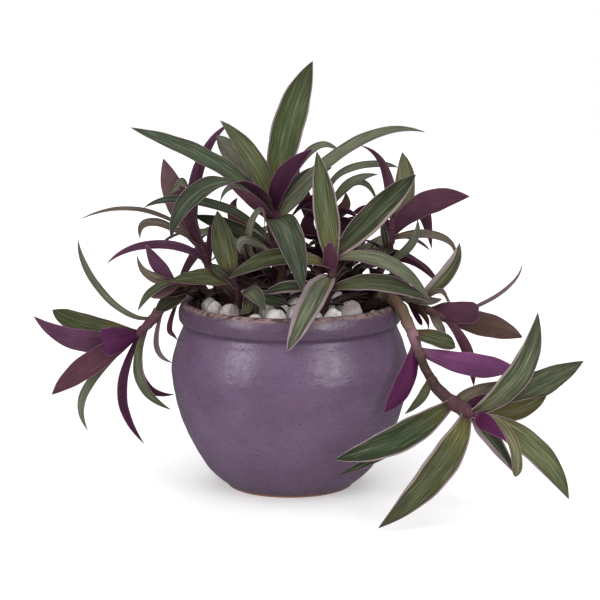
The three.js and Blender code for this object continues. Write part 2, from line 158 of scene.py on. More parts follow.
def smooth(piece, sharp=None):
    """Smooth shading, apart from edges that turn by more degrees than sharp, if that is given."""
    alone(piece)
    if sharp:
        bpy.ops.object.shade_smooth_by_angle(angle=math.radians(sharp))
    else:
        bpy.ops.object.shade_smooth()


def copy_of(piece, name):
    """A copy with its own mesh."""
    twin = piece.copy()
    twin.data = piece.data.copy()
    twin.name = name
    twin.data.name = name
    bpy.context.scene.collection.objects.link(twin)
    return twin


def joined(pieces, name):
    """One piece from several."""
    bpy.ops.object.select_all(action="DESELECT")
    for piece in pieces:
        piece.select_set(True)
    bpy.context.view_layer.objects.active = pieces[0]
    bpy.ops.object.join()
    return added(name)


def faces_in(piece):
    """How many faces the piece has, to be printed."""
    return len(piece.data.polygons)


def stands_for(piece, slot, *nodes):
    """The piece is shown in place of these solids. The slot is not used."""
    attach(piece, "root")
    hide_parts(*nodes)
    return piece


# %% [markdown]
# ## Writing materials as sums
# A material is a net of nodes, and long nets are easier to read as sums. `Number` wraps a socket so
# that Python's own signs add Math nodes, and `Finish` makes any other node from its type, its
# settings and what goes into it. Colours are mixed with Mix nodes, because a Math node greys them.

# %% A number that is worked out by nodes


class Number:
    def __init__(self, finish, socket):
        self.finish = finish
        self.socket = socket

    def maths(self, operation, *others, clamp=False):
        settings = {"operation": operation, "use_clamp": clamp}
        node = self.finish.node("ShaderNodeMath", settings, dict(enumerate((self, *others))))
        return Number(self.finish, node.outputs[0])

    def __add__(self, other):
        return self.maths("ADD", other)

    def __sub__(self, other):
        return self.maths("SUBTRACT", other)

    def __rsub__(self, other):
        return self * -1 + other

    def __mul__(self, other):
        return self.maths("MULTIPLY", other)

    def __pow__(self, other):
        return self.maths("POWER", other)

    __radd__ = __add__
    __rmul__ = __mul__

    def size(self):
        return self.maths("ABSOLUTE")

    def kept(self):
        """Held between 0 and 1."""
        return self.maths("ADD", 0, clamp=True)

    def between(self, low, high):
        """Rises smoothly from 0 at low to 1 at high."""
        ends = {"Value": self, "From Min": low, "From Max": high}
        node = self.finish.node("ShaderNodeMapRange", {"interpolation_type": "SMOOTHSTEP"}, ends)
        return Number(self.finish, node.outputs[0])

    def near(self, centre, reach):
        """1 at the centre, fading to 0 at that reach on either side."""
        return 1 - (self - centre).size().between(0, reach)


# %% A finish: one material and its nodes


def paint(red, green, blue):
    """A colour as a screen shows it, from 0 to 255, as light."""
    def light(share):
        return share / 12.92 if share <= 0.04045 else ((share + 0.055) / 1.055) ** 2.4
    return (*(light(x / 255) for x in (red, green, blue)), 1)


class Finish:
    def __init__(self, name, **sockets):
        self.material = bpy.data.materials.new(name)
        self.material.use_nodes = True
        self.nodes = self.material.node_tree.nodes
        self.links = self.material.node_tree.links
        self.shader = self.nodes["Principled BSDF"]
        for socket, value in sockets.items():
            self.shader.inputs[socket.replace("_", " ")].default_value = value

    def join(self, value, socket):
        value = getattr(value, "socket", value)
        if isinstance(value, bpy.types.NodeSocket):
            self.links.new(value, socket)
        else:
            socket.default_value = value

    def node(self, kind, settings, sockets):
        node = self.nodes.new(kind)
        for name, value in settings.items():
            setattr(node, name, value)
        for name, value in sockets.items():
            self.join(value, node.inputs[name])
        return node

    def number(self, node, output=0):
        return Number(self, node.outputs[output])

    def place(self):
        """Object coordinates: metres in the part's own frame."""
        return self.node("ShaderNodeTexCoord", {}, {}).outputs["Object"]

    def parts(self, vector):
        node = self.node("ShaderNodeSeparateXYZ", {}, {0: vector})
        return [self.number(node, i) for i in range(3)]

    def vector(self, x, y, z):
        return self.node("ShaderNodeCombineXYZ", {}, {0: x, 1: y, 2: z}).outputs[0]

    def attribute(self, name):
        return self.node("ShaderNodeAttribute", {"attribute_name": name}, {})

    def noise(self, vector, scale, detail=3, roughness=0.5, distortion=0):
        sockets = {"Vector": vector, "Scale": scale, "Detail": detail}
        sockets.update({"Roughness": roughness, "Distortion": distortion})
        return self.number(self.node("ShaderNodeTexNoise", {}, sockets))

    def cells(self, vector, scale):
        return self.number(self.node("ShaderNodeTexVoronoi", {}, {"Vector": vector, "Scale": scale}))

    def mix(self, share, first, second, blend="MIX"):
        settings = {"data_type": "RGBA", "blend_type": blend, "clamp_factor": True}
        return self.node("ShaderNodeMix", settings, {0: share, 6: first, 7: second}).outputs[2]

    def shaded(self, colour, value):
        """The colour made lighter or darker by a number."""
        return self.mix(1, colour, self.vector(value, value, value), "MULTIPLY")

    def set(self, bump=None, depth=0.3 * MM, **sockets):
        for name, value in sockets.items():
            self.join(value, self.shader.inputs[name.replace("_", " ")])
        if bump is not None:
            node = self.node("ShaderNodeBump", {}, {"Height": bump, "Distance": depth, "Strength": 1})
            self.links.new(node.outputs[0], self.shader.inputs["Normal"])
        return self


# %% [markdown]
# ## The pot
# The real pot was thrown on a wheel: a small foot, a full belly, a dark groove under a rolled lip.
# A thrown form is a spun outline. The outline is drawn by pulling one point along its profile, and
# is then spun round the axis, which gives even rings that a cylinder could only reach after many cuts.

# %% The pot's outline
POT_RADIUS = 106
POT_HEIGHT = 168
NECK = (95, 0.868 * POT_HEIGHT)
WALL = 7
FLOOR = 11
FOOT_RADIUS = 50
FOOT = [(0, 0), (FOOT_RADIUS, 0), (55, 0), (56.4, 0.6)]
BELLY = [(0.72, 0.12), (0.918, 0.363), (1, 0.607), (0.972, 0.74)]
LIP = [(-3.5, 1.5), (0, 6), (0.3, 13), (-2.5, 20), (-6, 22.176), (-9, 18), (-10.5, 5)]
LIP_RADIUS = 99
INSIDE = [(NECK[0] - WALL, NECK[1]), (99, 102), (90.3, 61), (58, 14), (46, FLOOR)]
BELLY_PARTS, LIP_PARTS, INSIDE_PARTS = 64, 44, 24
SOIL_HEIGHT = 153


def on_line(points, x, reflected=True):
    """The place on a smooth line through the points, x of the gaps between them along it."""
    last = len(points) - 1
    i = min(int(x), last - 1)
    w = x - i
    p1, p2 = Vector(points[i]), Vector(points[i + 1])
    before = 2 * p1 - p2 if reflected else p1
    after = 2 * p2 - p1 if reflected else p2
    p0 = Vector(points[i - 1]) if i > 0 else before
    p3 = Vector(points[i + 2]) if i + 2 <= last else after
    m1, m2 = (p2 - p0) / 2, (p3 - p1) / 2
    return (
        p1 * (2 * w**3 - 3 * w**2 + 1)
        + m1 * (w**3 - 2 * w**2 + w)
        + p2 * (3 * w**2 - 2 * w**3)
        + m2 * (w**3 - w**2)
    )


def line_point(points, t):
    """The place t of the way along a smooth line."""
    return on_line(points, min(max(t, 0), 1) * (len(points) - 1))


def curve(points, parts, reflected=False):
    """Places along a smooth line through the points, ends included."""
    last = len(points) - 1
    return [on_line(points, last * k / parts, reflected) for k in range(parts + 1)]


belly = [(57, 2), *((r * POT_RADIUS, h * POT_HEIGHT) for r, h in BELLY), NECK]
lip = [(LIP_RADIUS + out, NECK[1] + up) for out, up in LIP]
outline = [*FOOT, *map(tuple, curve(belly, BELLY_PARTS)), *map(tuple, curve(lip, LIP_PARTS))]
outline += [*map(tuple, curve(INSIDE, INSIDE_PARTS)), (0, FLOOR)]
print("outline points:", len(outline))

# %% The outline, drawn and spun
POT_TURNS = 144
UNEVEN = 0.12
OUT_OF_ROUND = 0.25


def spun(name, outline, steps):
    """A closed form from an outline of radius and height in millimetres, spun round the Z axis."""
    bpy.ops.object.select_all(action="DESELECT")
    start = Vector((outline[0][0], 0, outline[0][1])) * MM
    bpy.ops.mesh.primitive_plane_add(size=MM, location=start)
    piece = added(name)
    bpy.ops.object.transform_apply(location=True)
    bpy.ops.object.mode_set(mode="EDIT")
    bpy.ops.mesh.merge(type="CENTER")
    for (r0, h0), (r1, h1) in zip(outline, outline[1:]):
        step = ((r1 - r0) * MM, 0, (h1 - h0) * MM)
        bpy.ops.mesh.extrude_region_move(TRANSFORM_OT_translate={"value": step})
    bpy.ops.mesh.select_all(action="SELECT")
    bpy.ops.mesh.spin(steps=steps, angle=2 * math.pi, center=(0, 0, 0), axis=(0, 0, 1))
    bpy.ops.object.mode_set(mode="OBJECT")
    return closed(piece)


pot = spun("glazed_pot", outline, POT_TURNS)
for point in pot.data.vertices:
    turn = math.atan2(point.co.y, point.co.x)
    rings = UNEVEN * math.sin(point.co.z / MM / 2.3 + 1.3 * math.sin(turn))
    wobble = OUT_OF_ROUND * math.sin(2 * turn + 0.7) + UNEVEN * math.sin(5 * turn + point.co.z * 30)
    radius = point.co.xy.length / MM
    out = (rings + wobble) * min(1, radius / FOOT_RADIUS)
    if radius > 1:
        point.co.x *= 1 + out / radius
        point.co.y *= 1 + out / radius
smooth(pot, 50)
stands_for(pot, "pot_glaze", "pot")
print("pot faces:", faces_in(pot))

# %% [markdown]
# The glaze is a satin purple with a fine grain, faint darker clouds and iron specks. It ran thin
# over the lip, where the brown clay shows in a worn line, and the potter wiped it off the foot.
# Both bare places follow from the height, and the lip's from the distance to the axis too. So they
# are read from the object's coordinates, in metres, and noise frays their edges.

# %% The glaze
SHADOWED = (0, 0.07)
GROOVE_WALL, GROOVE_HEIGHT = (0.092, 0.0935), 0.1475
UNDER_LIP = (0.149, 0.153)
WORN_RADIUS, WORN_HEIGHT = 0.0962, 0.1674
BARE_FOOT = (0.0022, 0.0034)
glaze = Finish("pot_glaze", Specular_IOR_Level=0.6)
spot = glaze.place()
x, y, z = glaze.parts(spot)
grain = glaze.noise(spot, 900, 2, 0.6)
clouds = glaze.noise(spot, 26, 4, 0.55)
drift = glaze.noise(spot, 9, 3)
streaked = glaze.noise(glaze.vector(x * 90, y * 90, z * 420), 1.0, 3, 0.6)
body = glaze.mix(clouds.between(0.3, 0.72), paint(97, 75, 101), paint(107, 85, 112))
body = glaze.mix(drift.between(0.4, 0.7) * 0.35, body, paint(101, 76, 96))
# Painted shade: the glaze is painted darker towards the foot, where the lower belly lies in shade.
body = glaze.mix((1 - z.between(*SHADOWED)) * 0.5, body, paint(84, 64, 82))
body = glaze.shaded(body, 0.93 + 0.14 * grain)
body = glaze.shaded(body, 0.84 + 0.32 * streaked)
specks = 1 - glaze.cells(spot, 200).between(0.08, 0.17)
rare = glaze.noise(spot, 260, 1).between(0.54, 0.58)
body = glaze.mix(specks * rare * 0.9, body, paint(44, 32, 40))
fray = glaze.noise(spot, 240, 3, 0.65)
body = glaze.mix(z.between(*UNDER_LIP) * (0.15 + 0.7 * streaked), body, paint(72, 54, 68))
reach = (x * x + y * y) ** 0.5
worn = glaze.noise(glaze.vector(x * 22, y * 22, z * 9), 1.0, 2).between(0.32, 0.48)
edge = (z + fray * 0.0024).near(WORN_HEIGHT, 0.0042)
edge = edge * (reach + fray * 0.002).near(WORN_RADIUS, 0.0046) * worn
crumbs = glaze.noise(glaze.vector(x * 70, y * 300, z * 300), 1.0, 4, 0.65)
clay = glaze.mix(crumbs.between(0.4, 0.56), paint(64, 46, 46), paint(146, 120, 114))
body = glaze.mix((edge * 1.5).kept() * 0.85, body, clay)
ripples = glaze.noise(glaze.vector(x * 120, y * 120, z * 190), 1.0, 3, 0.6)
# Painted shade: the groove under the lip is painted darker.
groove = z.near(GROOVE_HEIGHT, 0.005) * reach.between(*GROOVE_WALL)
body = glaze.mix(groove * 0.6, body, paint(54, 40, 52))
foot = 1 - (z + fray * 0.0016).between(*BARE_FOOT)
body = glaze.mix(foot, body, paint(142, 104, 82))
shell = 1 - (edge * 0.8 + foot).kept()
glaze.set(
    Base_Color=body,
    Roughness=0.54 - 0.26 * shell + 0.2 * (grain - 0.5) + 0.5 * (ripples - 0.5),
    bump=grain * 0.3 + streaked * 0.6 + ripples * 1.6 + clouds + fray * edge - specks * rare * 0.4,
    depth=0.3 * MM,
)
pot.data.materials.append(glaze.material)
print("glaze nodes:", len(glaze.nodes))

# %% [markdown]
# ## The soil
# Potting soil is a bed of dark crumbs, seen between the pebbles and the stems. Its body fills the
# pot's inside and is spun like the pot. A cloud texture pushes its top up and down, but leaves the
# edge at the wall as it is, so that the soil stays inside the pot.

# %% The soil bed
SOIL_GAP = 0.3
SOIL_RADIUS = NECK[0] - WALL - SOIL_GAP
SOIL_RINGS, SOIL_TURNS = 46, 128
SOIL_DROP, EDGE_DROP = 0.8, 2
LUMPY_HEIGHT, LUMPY_RADIUS = 0.1515, 0.087
LUMP_HEIGHT, LUMP_SPREAD = 5, 0.011
soil_walls = [(r - SOIL_GAP, h + SOIL_GAP) for r, h in map(tuple, curve(INSIDE, 16))]
bed = [(0, FLOOR + SOIL_GAP), *reversed(soil_walls[:-1])]
for k in range(SOIL_RINGS + 1):
    bed.append((SOIL_RADIUS * (1 - k / SOIL_RINGS), SOIL_HEIGHT - SOIL_DROP - EDGE_DROP * (k == 0)))
soil = spun("soil_bed", bed, SOIL_TURNS)
lumps = bpy.data.textures.new("lumps", "CLOUDS")
lumps.noise_scale = LUMP_SPREAD
lumps.noise_depth = 4
top = soil.vertex_groups.new(name="top")
for point in soil.data.vertices:
    if point.co.z > LUMPY_HEIGHT and point.co.xy.length < LUMPY_RADIUS:
        top.add([point.index], 1, "REPLACE")
applied(soil, "DISPLACE", texture=lumps, strength=LUMP_HEIGHT * MM, mid_level=0.45, direction="Z",
        texture_coords="OBJECT", vertex_group="top")
smooth(soil)
print("soil faces:", faces_in(soil))

# %% The soil's finish
earth = Finish("potting_soil", Specular_IOR_Level=0.25)
spot = earth.place()
fine = earth.noise(spot, 700, 4, 0.7)
coarse = earth.noise(spot, 160, 4, 0.6)
tone = earth.mix(coarse.between(0.35, 0.7), paint(38, 30, 26), paint(84, 68, 56))
tone = earth.mix(fine.between(0.6, 0.75) * 0.7, tone, paint(120, 102, 86))
earth.set(Base_Color=tone, Roughness=0.85 + 0.1 * fine, bump=fine + coarse, depth=1.2 * MM)
soil.data.materials.append(earth.material)
stands_for(soil, "soil", "soil")

# %% [markdown]
# ## The pebbles
# Each pebble is worn chalky stone. Its solid already has the place and the rough shape, so a merged
# copy of it is rounded with Subdivision Surface, dented with a cloud texture and fitted back into
# the solid's own box.

# %% Pebbles from their solids
DENT_DEPTH, DENT_SPREAD = 3.4, 0.007
stone = Finish(
    "pebble_stone",
    Specular_IOR_Level=0.3,
    # Painted light: a faint even glow brightens the pebbles where they lie in shade.
    Emission_Color=(1, 0.96, 0.93, 1),
    Emission_Strength=0.035,
)
spot = stone.place()
mottle = stone.noise(spot, 150, 5, 0.62, 0.4)
pits = stone.noise(spot, 650, 3, 0.6)
which = stone.noise(spot, 28, 1)
pale = stone.mix(which.between(0.35, 0.65), paint(226, 218, 213), paint(246, 243, 238))
aged = stone.noise(spot, 36, 1).between(0.56, 0.64)
pale = stone.mix(aged * 0.8, pale, paint(186, 168, 170))
dim = stone.mix(1, pale, (0.82, 0.79, 0.79, 1), "MULTIPLY")
chalk = stone.mix(mottle.between(0.35, 0.7), dim, pale)
chalk = stone.mix(pits.between(0.6, 0.72) * 0.5, chalk, paint(250, 246, 240))
hollows = stone.cells(spot, 330).between(0.02, 0.3)
# Painted shade: the colour is darker in the small hollows of the bump.
chalk = stone.shaded(chalk, 0.8 + 0.2 * hollows)
stone.set(
    Base_Color=chalk,
    Roughness=0.78 + 0.16 * pits,
    bump=hollows + pits * 0.8 + mottle * 1.5,
    depth=0.8 * MM,
)

dents = bpy.data.textures.new("dents", "CLOUDS")
dents.noise_scale = DENT_SPREAD
dents.noise_depth = 3


def span(piece):
    """The lowest and highest corner of the piece's mesh."""
    places = [point.co for point in piece.data.vertices]
    return [Vector(f(p[i] for p in places) for i in range(3)) for f in (min, max)]


def pebble(node):
    """The worn pebble that is made from a copy of its solid and stands for it."""
    piece = copy_of(frame["nodes"][node], node.replace("pebble", "worn_pebble"))
    piece.parent = None
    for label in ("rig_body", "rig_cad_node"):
        if label in piece:
            del piece[label]
    piece.data.materials.clear()
    closed(piece, outward=False)
    low, high = span(piece)
    applied(piece, "SUBSURF", levels=2, render_levels=2)
    applied(piece, "DISPLACE", texture=dents, strength=DENT_DEPTH * MM, texture_coords="OBJECT")
    now_low, now_high = span(piece)
    for point in piece.data.vertices:
        for i in range(3):
            share = (point.co[i] - now_low[i]) / (now_high[i] - now_low[i])
            point.co[i] = low[i] + share * (high[i] - low[i])
    smooth(piece)
    piece.data.materials.append(stone.material)
    return stands_for(piece, "pebble", node)


pebbles = [pebble(node) for node in sorted(frame["nodes"]) if node.startswith("pebble_")]
print("pebbles:", len(pebbles), "faces in one:", faces_in(pebbles[0]))

# %% [markdown]
# ## Kinds of leaf
# One plant carries leaves of all ages. Young ones are olive with a yellow root, grown ones are
# grey-green with pale stripes, and every underside is purple, from vivid magenta to a dull brown.
# Each kind is a row of three paints, for the upper side, the root and the underside, and the
# strength of its stripes.

# %% The kinds
Kind = namedtuple("Kind", "upper root under stripes")
KINDS = {
    "young": Kind((69, 81, 45), (116, 112, 56), (92, 50, 74), 0.5),
    "olive": Kind((70, 75, 45), (98, 94, 42), (84, 48, 66), 0.4),
    "grey": Kind((76, 83, 60), (88, 86, 52), (80, 44, 66), 0.6),
    "blue": Kind((70, 83, 63), (78, 80, 54), (70, 36, 56), 0.6),
    "pale": Kind((104, 110, 88), (108, 106, 74), (82, 44, 66), 0.7),
    "deep": Kind((46, 60, 34), (76, 78, 38), (71, 36, 55), 0.4),
    "ochre": Kind((73, 68, 36), (100, 90, 44), (90, 54, 66), 0.3),
    "dark": Kind((50, 58, 36), (58, 56, 35), (54, 28, 41), 0.4),
    "dark striped": Kind((52, 59, 39), (70, 68, 42), (67, 37, 56), 0.6),
    "bright": Kind((114, 112, 80), (126, 116, 66), (90, 54, 66), 0.5),
    "silver": Kind((122, 122, 106), (112, 110, 84), (82, 44, 66), 0.6),
    "dusk": Kind((66, 60, 46), (76, 66, 46), (78, 44, 56), 0.3),
    "striped": Kind((84, 89, 70), (100, 94, 60), (80, 44, 65), 1.0),
    "mauve": Kind((104, 93, 80), (114, 98, 74), (92, 58, 72), 0.4),
    "magenta": Kind((64, 68, 48), (140, 104, 120), (80, 26, 68), 0.4),
    "orchid": Kind((64, 68, 48), (150, 114, 128), (110, 60, 102), 0.4),
    "vivid": Kind((70, 22, 78), (80, 40, 70), (76, 28, 66), 0.2),
    "purple": Kind((59, 63, 48), (71, 55, 52), (84, 49, 73), 0.4),
    "violet": Kind((53, 57, 44), (65, 49, 48), (60, 24, 49), 0.4),
    "aubergine": Kind((48, 50, 38), (56, 44, 40), (58, 24, 40), 0.3),
    "plum": Kind((56, 56, 44), (64, 50, 46), (80, 46, 62), 0.3),
    "brown": Kind((55, 51, 40), (63, 51, 44), (83, 49, 62), 0.2),
    "dusky": Kind((66, 66, 46), (76, 72, 46), (96, 72, 74), 0.3),
    "sunny": Kind((94, 100, 66), (120, 112, 60), (90, 50, 68), 0.5),
    "fresh": Kind((80, 88, 54), (118, 110, 54), (90, 50, 68), 0.6),
    "slate": Kind((57, 68, 52), (70, 74, 46), (70, 36, 56), 0.5),
    "ashen": Kind((90, 84, 74), (90, 84, 74), (108, 92, 98), 0.3),
    "tan": Kind((61, 57, 44), (69, 57, 48), (86, 64, 57), 0.2),
    "dry": Kind((66, 50, 38), (54, 40, 32), (72, 52, 40), 0.1),
    "husk": Kind((50, 30, 34), (44, 28, 28), (56, 30, 38), 0.1),
}
Leaf = namedtuple(
    "Leaf",
    "name height places width look kind turn blunt margins widest arc notch",
    defaults=(0, 2.1, (0.4, 0.4), 0.43, 0.42, 0),
)

NO_MARGIN = (0.05, 0.05)
FAINT_MARGIN = (0.15, 0.15)
print("kinds of leaf:", len(KINDS))

# %% [markdown]
# ## A blade
# A leaf of this plant is a long lance: it clasps the stem, is widest a little before its middle and
# runs out to a point. One flat grid is made once, with its far edge merged to the point, and a
# coarser one for dead leaves. Every leaf is a copy of one of them, laid along the leaf's own line,
# so that its stripes can follow the blade.

# %% The flat blade
ACROSS, ALONG = 10, 36
DEAD_ACROSS, DEAD_ALONG = 4, 12


def flat(name, across, along):
    """A flat blade from -1 to 1 across and from 0 to 1 along, with one point at its tip."""
    bpy.ops.object.select_all(action="DESELECT")
    bpy.ops.mesh.primitive_grid_add(x_subdivisions=across, y_subdivisions=along, size=2)
    piece = added(name)
    bpy.ops.object.mode_set(mode="EDIT")
    bpy.ops.mesh.select_all(action="SELECT")
    bpy.ops.transform.translate(value=(0, 1, 0))
    bpy.ops.transform.resize(value=(1, 0.5, 1), center_override=(0, 0, 0))
    bpy.ops.object.mode_set(mode="OBJECT")
    for face in piece.data.polygons:
        face.select = False
    for line in piece.data.edges:
        line.select = all(piece.data.vertices[i].co.y > 0.999 for i in line.vertices)
    for point in piece.data.vertices:
        point.select = point.co.y > 0.999
    bpy.ops.object.mode_set(mode="EDIT")
    bpy.ops.mesh.merge(type="CENTER")
    bpy.ops.object.mode_set(mode="OBJECT")
    return piece


flat_blade = flat("flat_blade", ACROSS, ALONG)
flat_husk = flat("flat_husk", DEAD_ACROSS, DEAD_ALONG)
print("points in the flat blade:", len(flat_blade.data.vertices))

# %% Where a blade runs
LOOKS = {"V": Vector((0, -1, 0.25)), "B": Vector((0, 1, -0.1)), "U": Vector((0, 0, 1))}
Row = namedtuple("Row", "spot along facing sideways half")
BASE_BREADTH = 0.34


def through(points, t):
    """A smooth line through evenly timed points."""
    last = len(points) - 1
    place = Vector((0, 0, 0))
    for i, point in enumerate(points):
        share = 1
        for j in range(last + 1):
            if j != i:
                share *= (t * last - j) / (i - j)
        place += point * share
    return place


def heading(points, t):
    """The direction in which such a line runs at t."""
    return (through(points, min(t + 0.01, 1)) - through(points, max(t - 0.01, 0))).normalized()


def breadth(t, leaf):
    """The share of its full width that the leaf has at t."""
    if t < leaf.widest:
        return BASE_BREADTH + (1 - BASE_BREADTH) * math.sin(t / leaf.widest * math.pi / 2) ** 1.15
    return max(0, 1 - ((t - leaf.widest) / (1 - leaf.widest)) ** leaf.blunt)


def rows_of(points, leaf):
    """For each cross row of the blade: its middle, where it heads, where its upper side looks."""
    headings = [heading(points, i / ALONG) for i in range(ALONG + 1)]

    def square(side, along):
        return (side - along * side.dot(along)).normalized()

    middle = ALONG // 2
    facing = [None] * (ALONG + 1)
    wanted = leaf.look
    if isinstance(wanted, str):
        wanted = sum((LOOKS[letter] for letter in leaf.look), Vector((0, 0, 0)))
    facing[middle] = square(wanted, headings[middle])
    for i in range(1, middle + 1):
        facing[middle + i] = square(facing[middle + i - 1], headings[middle + i])
        facing[middle - i] = square(facing[middle - i + 1], headings[middle - i])
    rows = []
    for i, along in enumerate(headings):
        t = i / ALONG
        turned = Matrix.Rotation(math.radians(leaf.turn) * (t - 0.5), 3, along) @ facing[i]
        half = leaf.width / 2 * breadth(t, leaf)
        rows.append(Row(through(points, t), along, turned, along.cross(turned), half))
    return rows


# %% [markdown]
# The cross rows are arcs: cupped round the stem at the root, open in the middle, almost flat at the
# point. The margins wave a little, each leaf in its own way. Every point also keeps where it lies on
# its leaf and its leaf's paints, because the stripes and margins are painted by that.

# %% A copy of the blade, laid along its line
ROOT_ARC = 1.25
TIP_ARC = 0.6
CREASE = 0.05
WAVE = 0.06


def stored(piece, name, kind, values):
    """Keeps one value for each point of the piece."""
    data = piece.data.attributes.new(name, kind, "POINT").data
    field = "color" if kind == "FLOAT_COLOR" else "vector"
    data.foreach_set(field, [number for value in values for number in value])


def laid(leaf, points, number, pattern):
    """The blade of one leaf, in millimetres, before it gets its thickness."""
    piece = copy_of(pattern, "blade")
    rows = rows_of(points, leaf)
    length = sum((a.spot - b.spot).length for a, b in zip(rows, rows[1:]))
    phase = 2.4 * number
    waves = 1.5 + length / 55
    places, lies = [], []
    for point in piece.data.vertices:
        u, t = point.co.x, point.co.y
        row = rows[round(t * ALONG)]
        rooted = max(0, 1 - t / 0.25) ** 2
        arc = leaf.arc * (1 - (1 - TIP_ARC) * max(0, t - 0.4))
        arc += (ROOT_ARC - arc) * rooted
        wide = row.half * math.sin(arc * u) / arc
        lift = row.half * ((1 - math.cos(arc * u)) / arc + CREASE * abs(u) - CREASE / 2)
        side = 1 if u > 0 else 0.7
        wave = math.sin(2 * math.pi * waves * t + phase + 1.7 * (u > 0)) * abs(u) ** 2 * side
        lift += wave * WAVE * row.half * min(1, 3 * t) * (1 - t**3)
        wide += row.half * 0.02 * math.sin(7 * t * waves + phase) * abs(u)
        spot = row.spot + row.sideways * wide + row.facing * lift
        spot -= row.along * leaf.notch * t**8 * (1 - abs(u))
        places.append(spot * MM)
        lies.append((u, t, row.half))
    for point, place in zip(piece.data.vertices, places):
        point.co = place
    kind = KINDS[leaf.kind]
    count = len(places)
    marks = (kind.stripes, *leaf.margins)
    stored(piece, "lie", "FLOAT_VECTOR", lies)
    stored(piece, "marks", "FLOAT_VECTOR", [marks] * count)
    stored(piece, "own", "FLOAT_VECTOR", [(length, number * 3.1, 0)] * count)
    for name in ("upper", "root", "under"):
        stored(piece, name + "_paint", "FLOAT_COLOR", [paint(*getattr(kind, name))] * count)
    return piece


# %% [markdown]
# ## The leaf's three skins
# The upper side is green with pale stripes, the underside purple, and the margin a thin pink line.
# Solidify gives the laid blade its thickness and can give the new side and the rim materials of
# their own, so the three skins are three materials that read the same kept values.

# %% What the skins share


class LeafFinish(Finish):
    def __init__(self, name, **sockets):
        super().__init__(name, **sockets)
        self.across, self.along, self.half = self.held("lie")
        self.stripes, self.left, self.right = self.held("marks")
        self.length, self.own = self.held("own")[:2]
        self.beside = self.across * self.half
        flow = self.vector(self.beside, self.along * self.length * 0.026, self.own)
        self.streaks = self.noise(flow, 1.0, 2, 0.6)
        fine = self.vector(self.beside * 1.9, self.along * self.length * 0.04, self.own + 5)
        self.veins = self.noise(fine, 1.0, 2, 0.6)
        broad = self.vector(self.beside * 0.34, self.along * self.length * 0.006, self.own + 2)
        self.bands = self.noise(broad, 1.0, 1, 0.5)
        patch = self.vector(self.beside * 0.12, self.along * self.length * 0.06, self.own + 9)
        self.patches = self.noise(patch, 1.0, 3, 0.55)

    def held(self, name):
        """The three numbers that each point keeps under that name."""
        return self.parts(self.attribute(name).outputs["Vector"])

    def painted(self, name):
        return self.attribute(name).outputs["Color"]


# %% The upper side
upper = LeafFinish("leaf_upper", Specular_IOR_Level=0.25)
old_share = upper.along.between(0.02, 0.42)
base = upper.mix(old_share, upper.painted("root_paint"), upper.painted("upper_paint"))
base = upper.shaded(base, 0.66 + 0.68 * upper.patches)
full = upper.along.between(0, 0.1) * (1 - upper.along.between(0.86, 1))
beside_rib = (upper.across + (upper.bands - 0.5) * 0.6).near(0.04, 0.3) * (0.35 + 1.1 * upper.streaks)
base = upper.mix((beside_rib * (0.06 + 0.42 * upper.stripes) * full).kept(), base, paint(124, 130, 108))
base = upper.mix(upper.across.size().between(0.45, 0.95) * 0.4, base, paint(56, 48, 36))
thread = upper.streaks.between(0.54, 0.66) * (0.1 + 0.3 * upper.stripes) * full
base = upper.mix(thread.kept(), base, paint(150, 150, 122))
base = upper.shaded(base, 0.7 + 0.3 * upper.streaks.between(0.32, 0.5))
base = upper.shaded(base, 0.7 + 0.6 * upper.veins.between(0.34, 0.66))
base = upper.shaded(base, 1 - 0.22 * upper.along.between(0.5, 0.95))
base = upper.mix(upper.across.near(0, 0.035) * 0.3, base, paint(56, 60, 40))
from_left = (upper.across + 1) * upper.half
from_right = (1 - upper.across) * upper.half
taper = 1 - upper.along.between(0.62, 0.97) * 0.75
left_width = upper.left * taper
right_width = upper.right * taper


def margin_share(distance, width):
    """1 on the pale margin, falling to 0 where the green begins."""
    return 1 - distance.between(width * 0.7, width * 1.15)


def thin_line(distance, width):
    """The cream line along the inner side of a broad margin."""
    broad = width.between(1.2, 1.8)
    return (distance - width * 1.12).near(0, 0.55) * broad


def dark_line(distance, width):
    """The dusky line between a margin and the green."""
    return (distance - width * 1.3).near(0.3, 1.1) * width.between(0.2, 0.5)


margin = (margin_share(from_left, left_width) + margin_share(from_right, right_width)).kept()
cream = (thin_line(from_left, left_width) + thin_line(from_right, right_width)).kept()
dusk = (dark_line(from_left, left_width) + dark_line(from_right, right_width)).kept()
base = upper.mix(dusk * 0.4, base, paint(62, 46, 44))
edging = upper.mix(upper.veins.between(0.4, 0.6), paint(142, 120, 130), paint(166, 152, 150))
lilac = upper.across.between(-0.1, 0.1)
lilac = (upper.left * (1 - lilac) + upper.right * lilac).between(1.6, 2.6)
edging = upper.mix(lilac * 0.8, edging, paint(166, 144, 158))
base = upper.mix(margin * (0.5 + 0.5 * upper.streaks), base, edging)
base = upper.mix(cream * 0.75, base, paint(178, 168, 142))
near_stem = 1 - (upper.along * upper.length).between(3, 15)
base = upper.mix(near_stem * 0.75, base, paint(66, 34, 50))
base = upper.mix(upper.along.between(0.95, 1) * 0.5, base, paint(66, 60, 46))
upper.set(
    Base_Color=base,
    Roughness=0.46 + 0.22 * upper.veins,
    bump=upper.veins * 0.7 + upper.streaks * 0.6 - upper.across.near(0, 0.06) * 0.8,
    depth=0.35 * MM,
)

